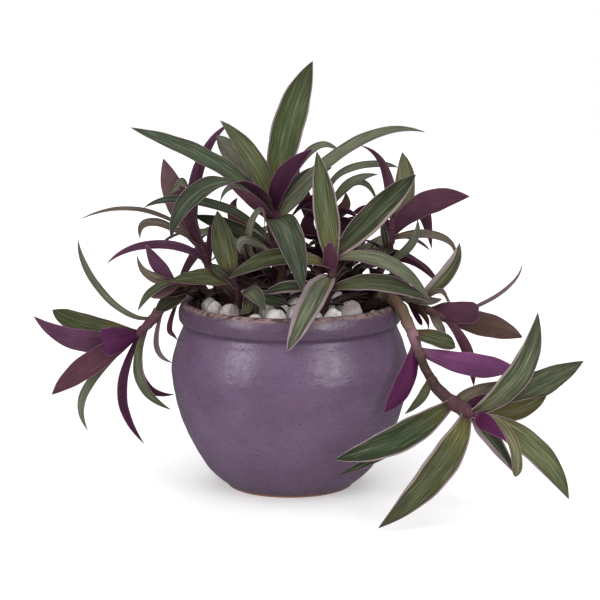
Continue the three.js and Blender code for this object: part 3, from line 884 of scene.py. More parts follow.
# %% The underside
under = LeafFinish("leaf_underside", Specular_IOR_Level=0.2)
base = under.shaded(under.painted("under_paint"), 0.6 + 0.75 * under.patches)
base = under.mix((1 - under.along.between(0, 0.22)) * 0.6, base, under.painted("root_paint"))
base = under.shaded(base, 0.6 + 0.8 * under.streaks)
base = under.shaded(base, 0.7 + 0.6 * under.veins)
base = under.mix(under.across.near(0, 0.06) * 0.35, base, under.shaded(base, 1.5))
from_edge = (1 - under.across.size()) * under.half
from_tip = (1 - under.along) * under.length
pale = 2 - from_edge.between(0.25, 0.6) - from_tip.between(0.5, 1.4)
edged = under.left.between(0.1, 0.4) + under.left.between(0.8, 1.2) * 0.5
base = under.mix((pale * edged * 0.6).kept(), base, paint(144, 104, 124))
under.set(
    Base_Color=base,
    Roughness=0.42 + 0.26 * under.veins,
    bump=under.veins * 0.6 + under.streaks + under.across.near(0, 0.08) * 0.9,
    depth=0.4 * MM,
)

# %% The margin
rim = LeafFinish("leaf_margin", Specular_IOR_Level=0.4)
base = rim.mix(rim.streaks.between(0.3, 0.7), paint(136, 114, 124), paint(168, 152, 150))
edged = 0.15 + rim.left.between(0.1, 1.2) * 0.65
rim.set(Base_Color=rim.mix(edged, rim.painted("under_paint"), base), Roughness=0.5 + 0.2 * rim.veins)
print("leaf nodes:", len(upper.nodes), len(under.nodes), len(rim.nodes))

# %% [markdown]
# ## A stem
# A stem is a row of sheaths, each a leaf's foot that wraps the next part of the stem. It is widest
# where a sheath opens and narrows towards the next joint. A grid is rolled into a tube and laid
# along the stem's line, with that saw-tooth as its radius.

# %% A tube along a stem's line
AROUND, STEPS = 14, 110
SHEATH_SWELL, SHEATH_NARROW = 1.1, 0.2
RIB = 0.05
bpy.ops.object.select_all(action="DESELECT")
bpy.ops.mesh.primitive_grid_add(x_subdivisions=AROUND, y_subdivisions=STEPS, size=2)
flat_bark = added("flat_bark")


def shared(values, t):
    """The value t of the way along a list, between its neighbours."""
    x = t * (len(values) - 1)
    i = min(int(x), len(values) - 2)
    return [a + (b - a) * (x - i) for a, b in zip(values[i], values[i + 1])]


def stem(name, points, radius, joints, paints, girths):
    """A tube along the line through the points, with a sheath between each two joints."""
    line = curve(points, STEPS, reflected=True)
    travelled = [0]
    for a, b in zip(line, line[1:]):
        travelled.append(travelled[-1] + (b - a).length)
    total = travelled[-1]
    headings = [(line[min(i + 1, STEPS)] - line[max(i - 1, 0)]).normalized() for i in range(STEPS + 1)]
    side = Vector((0, -1, 0))
    sides = []
    for along in headings:
        side = (side - along * side.dot(along)).normalized()
        sides.append(side)
    ends = sorted({*(h * total for h in joints), 0, total * 1.001})
    piece = copy_of(flat_bark, name)
    lies, colours = [], []
    for point in piece.data.vertices:
        u, t = point.co.x, (point.co.y + 1) / 2
        i = round(t * STEPS)
        here = travelled[i]
        below = max(e for e in ends if e <= here)
        above = min(e for e in ends if e > here)
        share = (here - below) / max(above - below, 1)
        swell = SHEATH_SWELL - SHEATH_NARROW * min(1, share * 1.1)
        swell += 0.1 * max(0, 1 - abs(share - 0.93) / 0.07)
        swell *= 1 - 0.6 * max(0, (t - 0.94) / 0.06) ** 2
        ribs = RIB * math.sin(3 * math.pi * u + here / 9)
        swell *= 1 + ribs + RIB * math.sin(here / 3.7 + math.pi * u)
        turn = Matrix.Rotation(math.pi * u, 3, headings[i])
        girth = shared([(g,) for g in girths], t)[0]
        point.co = (line[i] + turn @ sides[i] * radius * girth * swell) * MM
        lies.append((u, here, share))
        colours.append(paint(*shared(paints, t)))
    stored(piece, "lie", "FLOAT_VECTOR", lies)
    stored(piece, "skin_paint", "FLOAT_COLOR", colours)
    smooth(closed(piece))
    piece.data.materials.append(bark.material)
    return piece


# %% The stem's skin
bark = Finish("stem_skin", Specular_IOR_Level=0.3)
around, here, share = bark.parts(bark.attribute("lie").outputs["Vector"])
spot = bark.place()
ribs = bark.noise(bark.vector(around * 9, here * 0.06, 0.5), 1.0, 3, 0.6)
mottled = bark.noise(spot, 170, 4, 0.65)
skin = bark.attribute("skin_paint").outputs["Color"]
skin = bark.shaded(skin, 0.55 + 0.9 * ribs)
skin = bark.mix(mottled.between(0.5, 0.7) * 0.35, skin, paint(54, 38, 32))
skin = bark.mix(mottled.between(0.3, 0.45) * -0.3 + 0.3, skin, paint(128, 108, 92))
papery = (1 - share.between(0.02, 0.2)) * ribs.between(0.35, 0.6)
skin = bark.mix((papery * 0.4).kept(), skin, paint(128, 98, 90))
skin = bark.mix(share.near(0.97, 0.05) * 0.7, skin, paint(34, 24, 20))
bark.set(Base_Color=skin, Roughness=0.55 + 0.3 * ribs, bump=ribs + mottled * 1.2, depth=0.7 * MM)

# %% [markdown]
# ## A leafy stem
# A whole shoot is its stem, the leaves that root on it and the dead sheaths of older ones. The
# blades are laid, joined and given their thickness in one go, which keeps the skins together in one
# piece for each shoot. On the stems in front the dead sheaths point backwards, so that the stem stays
# in sight.

# %% Shoots
LEAF_STEP = 0.007
LEAF_THICKNESS = 0.7
STEM_FOOT = 129
YOUNG_BARK = ((62, 44, 38), (70, 44, 44), (84, 42, 62))
OLD_JOINTS = {0.14, 0.2, 0.26, 0.32, 0.38, 0.44, 0.5, 0.56}
JOINT_GAP = 0.035
HUSK_KINDS = ("dry", "husk", "husk", "aubergine", "tan")
HUSK_LENGTHS, HUSK_LEANS, DEAD_WIDTHS = (26, 54), (0.25, 0.75), (7, 12)
FRONT, BACK = -12, 28
BACKWARDS, BACK_SPREAD = math.radians(25), math.radians(130)
GOLDEN_TURN = math.pi * (3 - math.sqrt(5))
chance = random.Random(5)
leaf_number = 0


def dead_leaf(look, kinds):
    """A small dry leaf, of a kind and a width drawn by chance."""
    kind = chance.choice(kinds)
    width = chance.uniform(*DEAD_WIDTHS)
    return Leaf("dead", 0, [], width, look, kind, arc=0.9, margins=NO_MARGIN)


def skinned(blades, name):
    """One piece from laid blades, with their thickness and the three skins."""
    piece = joined(blades, name)
    for finish in (upper, under, rim):
        piece.data.materials.append(finish.material)
    applied(piece, "SOLIDIFY", thickness=LEAF_THICKNESS * MM, offset=0, use_even_offset=False,
            material_offset=1, material_offset_rim=2)
    smooth(piece, 45)
    return piece


def old_husks(rooted, radius, count, start, end):
    """Dead leaf sheaths round a stem, small blades that stand off it by turns."""
    husks = []
    for k in range(count):
        t = start + (end - start) * k / count
        foot = line_point(rooted, t)
        along = (line_point(rooted, t + 0.03) - line_point(rooted, t - 0.03)).normalized()
        angle = GOLDEN_TURN * k + radius
        if foot.y < FRONT:
            angle = BACKWARDS + angle % BACK_SPREAD
        out = Vector((math.cos(angle), math.sin(angle), 0))
        out = (out - along * out.dot(along)).normalized()
        length = chance.uniform(*HUSK_LENGTHS) * (1.5 if foot.y > BACK else 1)
        lean = chance.uniform(*HUSK_LEANS)
        foot = foot + out * radius * 0.5
        middle = foot + along * length * 0.5 + out * length * 0.16
        tip = foot + along * length * (0.95 - lean * 0.6) + out * length * lean
        leaf = dead_leaf(along - out * 0.4, HUSK_KINDS)
        husks.append(laid(leaf, [foot, middle, tip], 200 + k, flat_husk))
    return husks


def shoot(name, foot, thickness, path, leaves, paints=YOUNG_BARK, *, girths=(1, 1), husks):
    """A stem from its foot along the readings of its path, with its leaves and dead sheaths."""
    global leaf_number
    rooted = [Vector((*foot, STEM_FOOT)), Vector((*foot, SOIL_HEIGHT)), *map(seen, path)]
    blades, heights = [], []
    for i, leaf in enumerate(leaves):
        height = leaf.height - i * LEAF_STEP
        heights.append(height)
        points = [line_point(rooted, height)]
        points += [p if isinstance(p, Vector) else seen(p) for p in leaf.places]
        leaf_number += 1
        blades.append(laid(leaf, points, leaf_number, flat_blade))
    blades += old_husks(rooted, thickness / 2, *husks)
    foliage = skinned(blades, name + "_leaves")
    joints = sorted({round(h, 2) for h in heights} | OLD_JOINTS)
    joints = [h for i, h in enumerate(joints) if i == 0 or h - joints[i - 1] > JOINT_GAP]
    stalk = stem(name + "_stem", rooted, thickness / 2, joints, paints, girths)
    node = "shoot_" + name
    stands_for(foliage, "leaf", node)
    stands_for(stalk, "leaf", node)
    print(name, "leaves:", len(leaves), "faces:", faces_in(foliage) + faces_in(stalk))


# %% [markdown]
# ## Fans on the far side
# The photograph shows no far side. Such a plant is leafy all round, so leaves fan out there from
# the crowns, by turns a low one and a high one, with lengths from one repeatable row of numbers.
# Below the crowns, short dark leaves stand round the stems. They have a row of numbers of their own.

# %% Fans
FAN_REACH, FAN_WIDTH = 105, 21
LOW_LEAF, HIGH_LEAF = (12, -42), (24, 8)
DARK_KINDS = ("dark", "brown", "aubergine", "husk", "dark striped", "dry")
seed = 7
wild = random.Random(11)


def draw():
    """The next number of the fans' row, from 0 to 1."""
    global seed
    seed = seed * 16807 % 2147483647
    return seed / 2147483647


def fan(crown, count, start, end, kinds):
    """Leaves that spread from a crown between two angles, in degrees from the right to the back."""
    centre = seen(crown)
    leaves = []
    for k in range(count):
        angle = math.radians(start + (end - start) * (k + 0.5) / count)
        reach = FAN_REACH * (0.85 + 0.3 * draw())
        rise, drop = HIGH_LEAF if k % 2 else LOW_LEAF
        out = Vector((math.cos(angle), math.sin(angle), 0))
        middle = centre + out * 0.52 * reach
        tip = centre + out * reach
        middle.z, tip.z = centre.z + rise, centre.z + drop
        kind = kinds[k % len(kinds)]
        leaves.append(Leaf("fan", 0.97, [middle, tip], FAN_WIDTH, "U", kind))
    return leaves


def undergrowth(places, count, reach, start=0):
    """Short leaves that stand round an old stem by turns, below its crown."""
    leaves = []
    path = [seen(place) for place in places]
    for k in range(count):
        centre = line_point(path, 0.15 + 0.7 * k / count)
        angle = start + GOLDEN_TURN * k
        long = reach * (0.7 + 0.6 * wild.random())
        out = Vector((math.cos(angle), math.sin(angle), 0))
        middle, tip = centre + out * 0.55 * long, centre + out * long
        middle.z, tip.z = centre.z + 0.32 * long, centre.z + long * (0.1 + 0.5 * wild.random())
        height = 0.44 + 0.4 * k / count + k * LEAF_STEP
        width = 9 + 6 * wild.random()
        kind = DARK_KINDS[k % len(DARK_KINDS)]
        leaves.append(Leaf("low", height, [middle, tip], width, "U", kind, margins=NO_MARGIN))
    return leaves


# %% [markdown]
# ## The standing crowns
# The tall crown in the middle carries the plant's longest leaf. Each row below names a leaf, how
# far up the stem it roots, the readings it passes through, its width, where its upper side looks
# and its kind. Some rows add its twist in degrees, how blunt it is, how wide its pink margins are,
# how far along it is widest, how strongly it is cupped and how deep its tip is notched.

# %% The tall crown
shoot("tall", (-9, -4), 11, [(-10, 188, 2), (-14, 222, 2), (-14, 247, 0)], [
    Leaf("upright", 0.99, [(-3, 315, -12), (20.5, 379, -20)], 29, "V", "young", blunt=2.4,
         margins=(1.3, 1.3), widest=0.52),
    Leaf("olive", 0.97, [(-32.5, 289, 4), (-63, 325.5, 6)], 19, "V", "sunny"),
    Leaf("grey", 0.95, [(-43, 283.5, -9), (-66, 312, -14)], 18, "V", "silver", blunt=4),
    Leaf("long left", 0.95, [(-57, 279.5, 8), (-102, 303, 14), (-143, 319, 18)], 21, "VU", "blue"),
    Leaf("arched left", 0.93, [(-49, 269.5, 34), (-88, 256.5, 60), (-107, 218.5, 76)], 22,
         "UUV", "slate", -110),
    Leaf("purple centre", 0.98, [(-7, 273, 22), (21, 300, 14)], 16.5, "B", "violet", widest=0.48),
    Leaf("long right", 0.96, [(25, 280, 0), (72, 311, -6), (121, 315, -14)], 14, "UV", "pale"),
    Leaf("hooked", 0.98, [(12, 291, -16), (32, 303.5, -24), (47, 295, -30)], 9, "UV", "pale"),
    Leaf("behind right", 0.95, [(10, 269, -10), (38, 283, -16)], 17, "V", "grey"),
    Leaf("low right", 0.93, [(8, 258, 9), (30, 282, 8)], 10, "V", "pale"),
    Leaf("front droop", 0.88, [(-8.5, 234, 44), (3, 209, 78), (11, 171, 88)], 27, "UV", "slate"),
    Leaf("left narrow", 0.72, [(-50, 242, 22), (-97, 254, 34), (-131, 247, 38)], 12, "UV", "slate"),
    Leaf("dark wide", 0.72, [(-52, 228, -4), (-87.5, 240, -2)], 15, "V", "dark"),
    Leaf("brown tip", 0.7, [(-47.5, 233, -24), (-47, 256, -28)], 13, "B", "tan"),
    Leaf("thin hook", 0.62, [(-37, 214, 28), (-30, 243, 40), (-23, 228, 46)], 6, "V", "pale"),
    Leaf("curl", 0.7, [(-28, 213, 30), (-42, 217, 40), (-45, 205, 44)], 10, "UV", "silver"),
    Leaf("grey strap", 0.98, [(-38, 262, -2), (-54, 265.5, -4), (-63, 252, -4)], 6.5, "V", "silver"),
    Leaf("dead left", 0.5, [(-36, 178, -20), (-58, 186, -26)], 12, "V", "husk", margins=NO_MARGIN),
    Leaf("dead right", 0.5, [(4, 183, -24), (24, 188, -30)], 12, "V", "husk", margins=NO_MARGIN),
    Leaf("arch root", 0.99, [(-32, 251.5, 26), (-54, 266, 36)], 11, "B", "brown"),
    *fan((-14, 247, 0), 3, 60, 100, ("grey", "olive")),
    *undergrowth([(-10, 170, 2), (-14, 215, 2)], 7, 28),
], husks=(14, 0.2, 0.55))

# %% The front crown and the small back crown
shoot("front", (27, -36), 8, [(34, 170, 42), (38, 186, 42), (38, 204, 40)], [
    Leaf("upright", 0.82, [(32, 246, 38), (24, 298, 32)], 22.5, "V", "fresh", margins=(1.3, 1.3)),
    Leaf("bud", 0.8, [(36.5, 199, 48), (36, 216.5, 50)], 13, "B", "plum", blunt=4),
    Leaf("right up", 0.97, [(76.5, 241, 40), (113.5, 277, 34)], 23, "V", "dark", blunt=2.8,
         margins=(0.6, 2.0)),
    Leaf("right arch", 0.95, [(68, 202, 55), (100, 189.5, 72), (126, 163, 80)], 17, "UV", "pale"),
    Leaf("right low", 0.55, [(80, 178, 66), (126, 162, 84)], 21, "UV", "grey", margins=(0.6, 1.5)),
    Leaf("front droop", 0.72, [(27, 175, 66), (12, 147, 104), (-3, 117, 117)], 23, "UV", "striped",
         margins=(2.4, 3.4)),
    Leaf("left", 0.88, [(2, 202, 50), (-28, 197, 56), (-56, 183, 58)], 20, "UV", "olive"),
    Leaf("left small", 0.62, [(0, 175, 56), (-23.5, 169, 60)], 14, "UV", "dark", margins=(2, 1)),
], husks=(10, 0.22, 0.75))
shoot("mid_back", (18, 38), 8, [(26, 195, -40), (32, 228, -42), (36, 252, -44)], [
    Leaf("arc upper", 0.97, [(43, 275.5, -44), (70, 285.5, -46), (97, 283.3, -46)], 9, "UV", "pale",
         blunt=2.6, widest=0.6),
    Leaf("arc lower", 0.93, [(48, 263, -36), (62, 273, -38), (79, 277, -40)], 11, "UV", "pale"),
    Leaf("grey hook", 0.9, [(52, 266, -48), (68, 268, -50), (79, 249, -52)], 9, "UV", "pale"),
    Leaf("brown", 0.88, [(48, 246, -38), (50, 261, -40)], 11, "B", "tan"),
    Leaf("purple left", 0.72, [(16, 228, -36), (24, 250, -40)], 14, "B", "aubergine"),
    Leaf("thin dark", 0.97, [(20, 255, -40), (0, 237, -42)], 7, "B", "aubergine"),
    Leaf("right dark", 0.85, [(48, 244, -30), (62, 236, -30)], 6, "B", "aubergine"),
    Leaf("dark behind", 0.7, [(48, 228, -50), (66, 240, -54)], 16, "B", "aubergine"),
    Leaf("dark middle", 0.62, [(18, 206, -44), (10, 220, -46)], 12, "B", "aubergine"),
    *undergrowth([(22, 165, -38), (34, 228, -42)], 11, 34, 1),
], husks=(14, 0.2, 0.6))

# %% The crowns on the left and on the right
shoot("left", (-50, 8), 8, [(-66, 178, 0), (-74, 196, 2), (-80, 212, 2), (-84, 224, 0)], [
    Leaf("brown upright", 0.75, [(-100, 250, 8), (-114, 291.3, 2)], 22.5, "B", "dusky", widest=0.52),
    Leaf("purple back", 0.95, [(-88, 250, -8), (-79, 291, -20), (-54, 323, -28)], 11.5, "B", "purple"),
    Leaf("thin arch", 0.9, [(-117, 240, 16), (-153, 246, 22), (-188, 237, 26)], 5.5, "UV", "mauve"),
    Leaf("green curl", 0.82, [(-108, 229, 22), (-129, 233, 32), (-135, 219, 36)], 10.5, "UV", "mauve"),
    Leaf("purple low", 0.6, [(-97, 211, 16), (-134, 212.5, 24), (-165, 196, 28)], 8, "B", "purple"),
    Leaf("folded", 0.75, [(-92, 262, 6), (-99, 268, 12), (-111, 259, 20)], 10, "UV", "pale"),
    Leaf("purple side", 0.6, [(-72, 218, -4), (-69, 240, -8)], 6, "B", "purple"),
    Leaf("folded back", 0.74, [(-93, 242, 14), (-98, 267, 14)], 11, "B", "dusk", blunt=5),
    *undergrowth([(-58, 165, -4), (-74, 205, 0)], 2, 9, 2),
], husks=(2, 0.2, 0.35))
shoot("low_left", (-36, -18), 7, [(-46, 164, 42), (-50, 176, 42), (-52, 184, 42)], [
    Leaf("upright", 0.95, [(-60, 214, 42), (-65.5, 244.5, 36)], 21, "V", "olive", margins=FAINT_MARGIN),
    Leaf("left", 0.85, [(-78, 183, 56), (-109, 180.5, 64)], 20, "UV", "olive", margins=FAINT_MARGIN),
    Leaf("small left", 0.85, [(-61.7, 188.5, 50), (-71.5, 196.5, 50)], 10, "V", "dark", margins=FAINT_MARGIN),
], husks=(5, 0.22, 0.6))
shoot("right_back", (66, 16), 8, [(77, 180, -14), (86, 202, -16), (91, 222, -18), (93, 238, -20)], [
    Leaf("big purple", 0.8, [(119, 249, -10), (162, 257, -8)], 22, "B", "plum", widest=0.58),
    Leaf("light upright", 0.95, [(103, 262, -30), (101, 297, -34)], 19, "V", "bright", blunt=3),
    Leaf("purple arch", 0.97, [(91, 255, -26), (84.5, 284, -32), (62.5, 303, -38)], 10.5, "B", "plum",
         blunt=1.4),
    Leaf("arch", 0.78, [(115, 223, -6), (140, 218, 2), (148, 200, 6)], 10, "UV", "mauve", -60),
    Leaf("small green", 0.56, [(109, 214, 2), (114.5, 236.5, 0)], 8, "V", "pale"),
    Leaf("thin dark", 0.6, [(108, 199, -4), (130, 181, 0)], 6, "B", "aubergine"),
    Leaf("dark inner", 0.85, [(75, 243, -24), (55, 241, -30)], 12, "B", "aubergine"),
    Leaf("green inner", 0.7, [(85, 222, -2), (83, 238, -2)], 7, "V", "dark"),
    *fan((93, 238, -20), 1, 40, 90, ("olive",)),
    *undergrowth([(72, 165, -14), (88, 215, -16)], 7, 26, 3),
], husks=(8, 0.22, 0.6))

# %% [markdown]
# ## The stems that hang over the rim
# Old stems lie on the rim, drop down the pot's side and turn up again at their tips. Their leaves
# hang with the purple underside outward, and the bare part shows tan bark and leaf scars.

# %% The hanging stems on the left
OLD_BARK = ((70, 50, 40), (84, 60, 52), (92, 62, 64))
shoot("left_rim", (-62, 17), 7, [(-80, 176, 2), (-93, 179, 18), (-106, 181, 28)], [
    Leaf("purple", 0.97, [(-118, 194, 30), (-130, 214, 28)], 13, "B", "purple"),
    Leaf("green", 0.97, [(-128, 187, 36), (-137.5, 204, 38)], 9, "V", "mauve", blunt=1.3, widest=0.35),
    Leaf("down", 0.9, [(-122, 173, 42), (-137, 154, 50)], 9, "UV", "grey"),
    Leaf("brown small", 0.85, [(-114, 170, 38), (-125, 166, 44)], 7, "B", "dusky"),
], OLD_BARK, husks=(3, 0.2, 0.45))
LEFT_TRAIL = [
    (-88, 172, -2), (-102, 170, 6), (-114, 158, 14), (-126, 144, 22), (-139, 131, 30),
]
shoot("left_trail", (-70, 36), 9, LEFT_TRAIL, [
    Leaf("long up", 0.78, [(-152, 155, 22), (-179, 184, 24), (-190.5, 218, 22)], 7.5, "UV", "pale",
         widest=0.6),
    Leaf("green", 0.97, [(-182, 141, 28), (-214, 155, 24)], 19, "V", "olive", blunt=3.6),
    Leaf("purple left", 0.97, [(-187, 127, 40), (-231, 149.5, 40)], 20, "B", "purple", widest=0.42),
    Leaf("rolled", 1.0, [(-153, 128, 52), (-172, 124, 56)], 29, "B", "vivid", blunt=14, arc=1.2, notch=5,
         margins=(1.2, 1.2)),
    Leaf("brown left", 1.0, [(-182, 105, 46), (-214.5, 78.5, 50)], 21, "B", "brown", widest=0.46),
    Leaf("thin down", 0.98, [(-174, 97, 34), (-188, 70, 34), (-182, 46, 34)], 8, "V", "pale"),
    Leaf("strap", 0.97, [(-150, 94, 50), (-148, 62, 56), (-131, 34, 54)], 9, "B", "violet"),
    Leaf("green down", 0.93, [(-137, 104, 46), (-128, 80, 50), (-107, 65, 46)], 9, "V", "grey"),
    Leaf("purple tip", 0.9, [(-137, 106, 30), (-127, 84, 34), (-104, 79, 32)], 9, "B", "violet"),
    Leaf("thin mid", 0.72, [(-120.5, 129, 24), (-116.5, 114, 28), (-105.5, 107, 30)], 5, "B", "ashen"),
    Leaf("dark hook", 0.52, [(-108, 143, 14), (-107, 134, 16), (-101, 127, 24)], 5, "B", "brown"),
    Leaf("sheath", 0.5, [(-103, 166, 16), (-121, 154, 26)], 15, "V", "tan", blunt=6, arc=0.9),
    Leaf("upper sheath", 0.45, [(-97, 173, 10), (-113, 168, 20)], 11, "V", "husk", blunt=5, arc=0.9),
], (
    (84, 66, 54), (90, 72, 60), (92, 70, 62), (106, 80, 76), (128, 94, 102), (84, 54, 62), (96, 62, 80),
), girths=(1, 1, 1.1, 1.2, 1.1, 0.95, 0.8), husks=(6, 0.2, 0.45))

# %% The hanging stems on the right
RIGHT_TRAIL = [
    (82, 166, 28), (95, 163, 34), (104.5, 146, 42), (112, 129.5, 52),
    (119, 108, 70), (130, 88, 88), (146, 71.5, 104), (166, 59, 116),
]
shoot("right_trail", (66, -6), 10.5, RIGHT_TRAIL, [
    Leaf("magenta front", 0.57, [(104, 91, 76), (84, 62, 86)], 17, "B", "magenta", widest=0.56),
    Leaf("magenta right", 0.62, [(160, 106, 74), (204, 103, 78)], 21, "B", "orchid", widest=0.6),
    Leaf("green short", 0.54, [(132, 128, 62), (149, 121, 66)], 18, "UV", "olive", blunt=4),
    Leaf("thin down", 0.76, [(119, 77, 96), (103, 61, 98)], 8.5, "V", "olive"),
    Leaf("left", 0.915, [(96, 38.5, 142), (39, 20, 158)], 25, "V", "deep", margins=(1.2, 1.2)),
    Leaf("down left", 1.0, [(131.5, 9, 142), (79, -42, 163)], 27, "V", "olive", margins=(1.2, 1.8)),
    Leaf("lower mid", 1.03, [(184, 36, 126), (203, 7, 124)], 15, "V", "dark striped", widest=0.28,
         margins=(1, 3.2)),
    Leaf("hanging", 1.05, [(191, 51, 130), (203, 27, 140), (202.5, 4.5, 142)], 10, "UV", "bright",
         blunt=4, widest=0.72),
    Leaf("lower right", 1.05, [(217.5, 30, 130), (251, -15.5, 132)], 26, "UV", "sunny", blunt=2.6,
         margins=(0.6, 1.4)),
    Leaf("olive", 1.06, [(203, 64, 116), (231, 77.5, 112)], 17, "V", "ochre"),
    Leaf("right", 1.05, [(220, 86, 104), (264.5, 109, 98)], 24, "V", "grey", blunt=1.8, widest=0.5),
    Leaf("up", 1.06, [(206.5, 98, 112), (223, 153, 104)], 22, "V", "grey", margins=(1.6, 0.6)),
    Leaf("purple young", 1.08, [(178, 52, 138), (196, 36, 148)], 15, "B", "magenta", widest=0.4, blunt=1.4),
    Leaf("back", 0.98, [(168, 80, 100), (198, 91, 98)], 14, "V", "mauve"),
    Leaf("dark by pot", 0.98, [(92, 31, 116), (42, 6, 118)], 10, "V", "dark"),
    Leaf("dark heart", 1.04, [(170, 71, 108), (184, 80, 106)], 13, "B", "aubergine"),
    Leaf("sprout", 0.3, [(80, 166, 33), (82.5, 172.5, 37)], 6, "V", "bright"),
], (
    # Painted shade: the first three paints are dark where the stem lies in shade inside the rim.
    (44, 34, 30), (50, 38, 34), (66, 48, 42), (102, 78, 62), (112, 92, 74),
    (150, 110, 126), (72, 54, 50), (66, 48, 46), (82, 56, 60), (82, 48, 60),
), girths=(1, 1, 1, 1, 1, 0.95, 0.75, 0.9, 1.2, 1.3), husks=(5, 0.12, 0.3))
RIGHT_RIM = [
    (82, 168, 4), (97, 169, 9), (112, 161, 16), (126, 154, 24), (142, 147, 32),
]
shoot("right_rim", (75, 12), 7.5, RIGHT_RIM, [
    Leaf("folded", 0.82, [(148, 152, 36), (172, 154, 38)], 20, "B", "plum", blunt=9, notch=2),
    Leaf("tail", 0.97, [(172, 160, 30), (198, 177, 26), (209, 197, 24)], 3.6, "B", "ashen"),
    Leaf("brown", 0.95, [(178, 141, 26), (209.5, 130, 24)], 22, "B", "tan", widest=0.42),
    Leaf("strap", 0.97, [(155, 128, 44), (163, 106, 48), (165.5, 86, 48)], 10, "B", "plum"),
    Leaf("small green", 0.85, [(134, 141, 36), (140, 131, 40)], 8, "V", "mauve"),
    Leaf("small dark", 0.62, [(115, 148, 24), (118.5, 141, 26)], 5, "B", "aubergine"),
    Leaf("pink edged", 0.7, [(141.5, 188, 22), (152.5, 215.5, 20)], 14, "V", "olive", margins=(3.6, 0.8)),
    Leaf("thin", 0.75, [(134, 172, 28), (142, 160, 30)], 5, "V", "mauve"),
    Leaf("sheath", 0.6, [(122, 163, 30), (137, 165, 34)], 8, "V", "ashen"),
], OLD_BARK, husks=(6, 0.25, 0.6))

# %% The small shoot in front and the two on the far side
shoot("low_front", (-34, -50), 6, [(-36, 164, 60), (-42, 171, 62)], [
    Leaf("triangle", 0.95, [(-33, 169, 70), (-22, 154, 80)], 16, "UV", "grey"),
    Leaf("dark left", 0.93, [(-38, 158, 68), (-46, 151, 72)], 10, "UV", "olive"),
    Leaf("dark right", 0.9, [(-17, 165, 56), (-2, 160, 58)], 13, "V", "deep"),
], husks=(2, 0.22, 0.75))
BACK_KINDS = ("striped", "grey", "olive", "blue")
shoot("far_left", (-26, 48), 9, [(-30, 182, -54), (-34, 196, -58)], [
    *fan((-34, 196, -58), 6, 64, 154, BACK_KINDS),
    *undergrowth([(-28, 165, -50), (-34, 196, -58)], 12, 36, 4),
], husks=(10, 0.22, 0.75))
shoot("far_right", (48, 56), 9, [(50, 178, -62), (50, 190, -64)], [
    *fan((50, 190, -64), 6, 14, 124, BACK_KINDS),
    *undergrowth([(48, 165, -58), (50, 190, -64)], 12, 38, 5),
], husks=(10, 0.22, 0.75))

# %% [markdown]
# ## Litter
# Chips of bark lie between the pebbles, and dead leaves have dropped on them round the stems. One
# chip is a flattened ball. It is copied along a spiral that fills a round bed evenly, each copy
# turned its own way. The dead leaves are small blades laid on the pebbles along such a spiral too,
# but not near the front and the left edge, where the photograph shows bare pebbles.

# %% Bark chips
CHIPS = 150
CHIP_RADIUS = 2.6
CHIP_STRETCH = (1.7, 0.8, 0.35)
CHIP_BED, LEAF_BED = 83, 76
ANY_TURN = 6.3


def spread(k, count, radius):
    """Place k of a spiral that fills a round bed evenly."""
    angle = GOLDEN_TURN * k
    return Vector((math.cos(angle), math.sin(angle), 0)) * radius * math.sqrt((k + 0.5) / count)


bpy.ops.object.select_all(action="DESELECT")
bpy.ops.mesh.primitive_ico_sphere_add(subdivisions=2, radius=CHIP_RADIUS * MM)
chip = added("chip")
bpy.ops.transform.resize(value=CHIP_STRETCH)
bpy.ops.object.transform_apply(scale=True)
applied(chip, "DISPLACE", texture=dents, strength=1.5 * MM)
chips = []
for k in range(CHIPS):
    turned = Matrix.Rotation(chance.uniform(0, ANY_TURN), 4, "Z")
    turned = turned @ Matrix.Rotation(chance.uniform(-0.7, 0.7), 4, "X")
    lift = Vector((0, 0, SOIL_HEIGHT + chance.uniform(0, 3)))
    twin = copy_of(chip, "chip_copy")
    twin.data.transform(Matrix.Translation((spread(k, CHIPS, CHIP_BED) + lift) * MM) @ turned)
    chips.append(twin)
bpy.data.objects.remove(chip)
bark_chips = joined(chips, "bark_chips")
wood = Finish("bark_chip", Specular_IOR_Level=0.25)
spot = wood.place()
grain = wood.noise(spot, 500, 4, 0.65)
tint = wood.noise(spot, 70, 1).between(0.4, 0.6)
shade = wood.mix(tint, paint(70, 50, 38), paint(116, 90, 70))
wood.set(Base_Color=wood.shaded(shade, 0.5 + grain), Roughness=0.8 + 0.15 * grain, bump=grain, depth=0.8 * MM)
bark_chips.data.materials.append(wood.material)
smooth(bark_chips)
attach(bark_chips, "root")
print("chip faces:", faces_in(bark_chips))

# %% Dead leaves on the pebbles
FALLEN = 46
FALLEN_KINDS = ("dry", "husk", "tan", "brown")
FALLEN_HEIGHTS, HALF_LENGTHS = (162, 171), (13, 24)
FRONT_EDGE = -38
LEFT_EDGE = -42
fallen = []
for k in range(FALLEN):
    centre = spread(k, FALLEN, LEAF_BED)
    if centre.y < FRONT_EDGE or centre.x < LEFT_EDGE:
        continue
    centre.z = chance.uniform(*FALLEN_HEIGHTS)
    angle = chance.uniform(0, ANY_TURN)
    half = Vector((math.cos(angle), math.sin(angle), chance.uniform(-0.3, 0.5)))
    half = half * chance.uniform(*HALF_LENGTHS)
    middle = centre + Vector((0, 0, chance.uniform(1, 6)))
    leaf = dead_leaf("U", FALLEN_KINDS)
    fallen.append(laid(leaf, [centre - half, middle, centre + half], 300 + k, flat_husk))
dead_leaves = skinned(fallen, "dead_leaves")
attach(dead_leaves, "root")
print("dead leaf faces:", faces_in(dead_leaves))
for pattern in (flat_blade, flat_husk, flat_bark):
    bpy.data.objects.remove(pattern)

# %% [markdown]
# ## The studio
# The photograph has a white floor without an edge and a small soft shadow. Two broad soft lights
# stand in front, one on each side. Three more fill from the front, the back and above, and no shiny
# surface mirrors those. The floor is a plain pale sheet, wide enough to pass out of view.

# %% Floor and lights
FLOOR_SIZE, FLOOR_DROP, FLOOR_GLOW = 6, 0.0002, 0.31
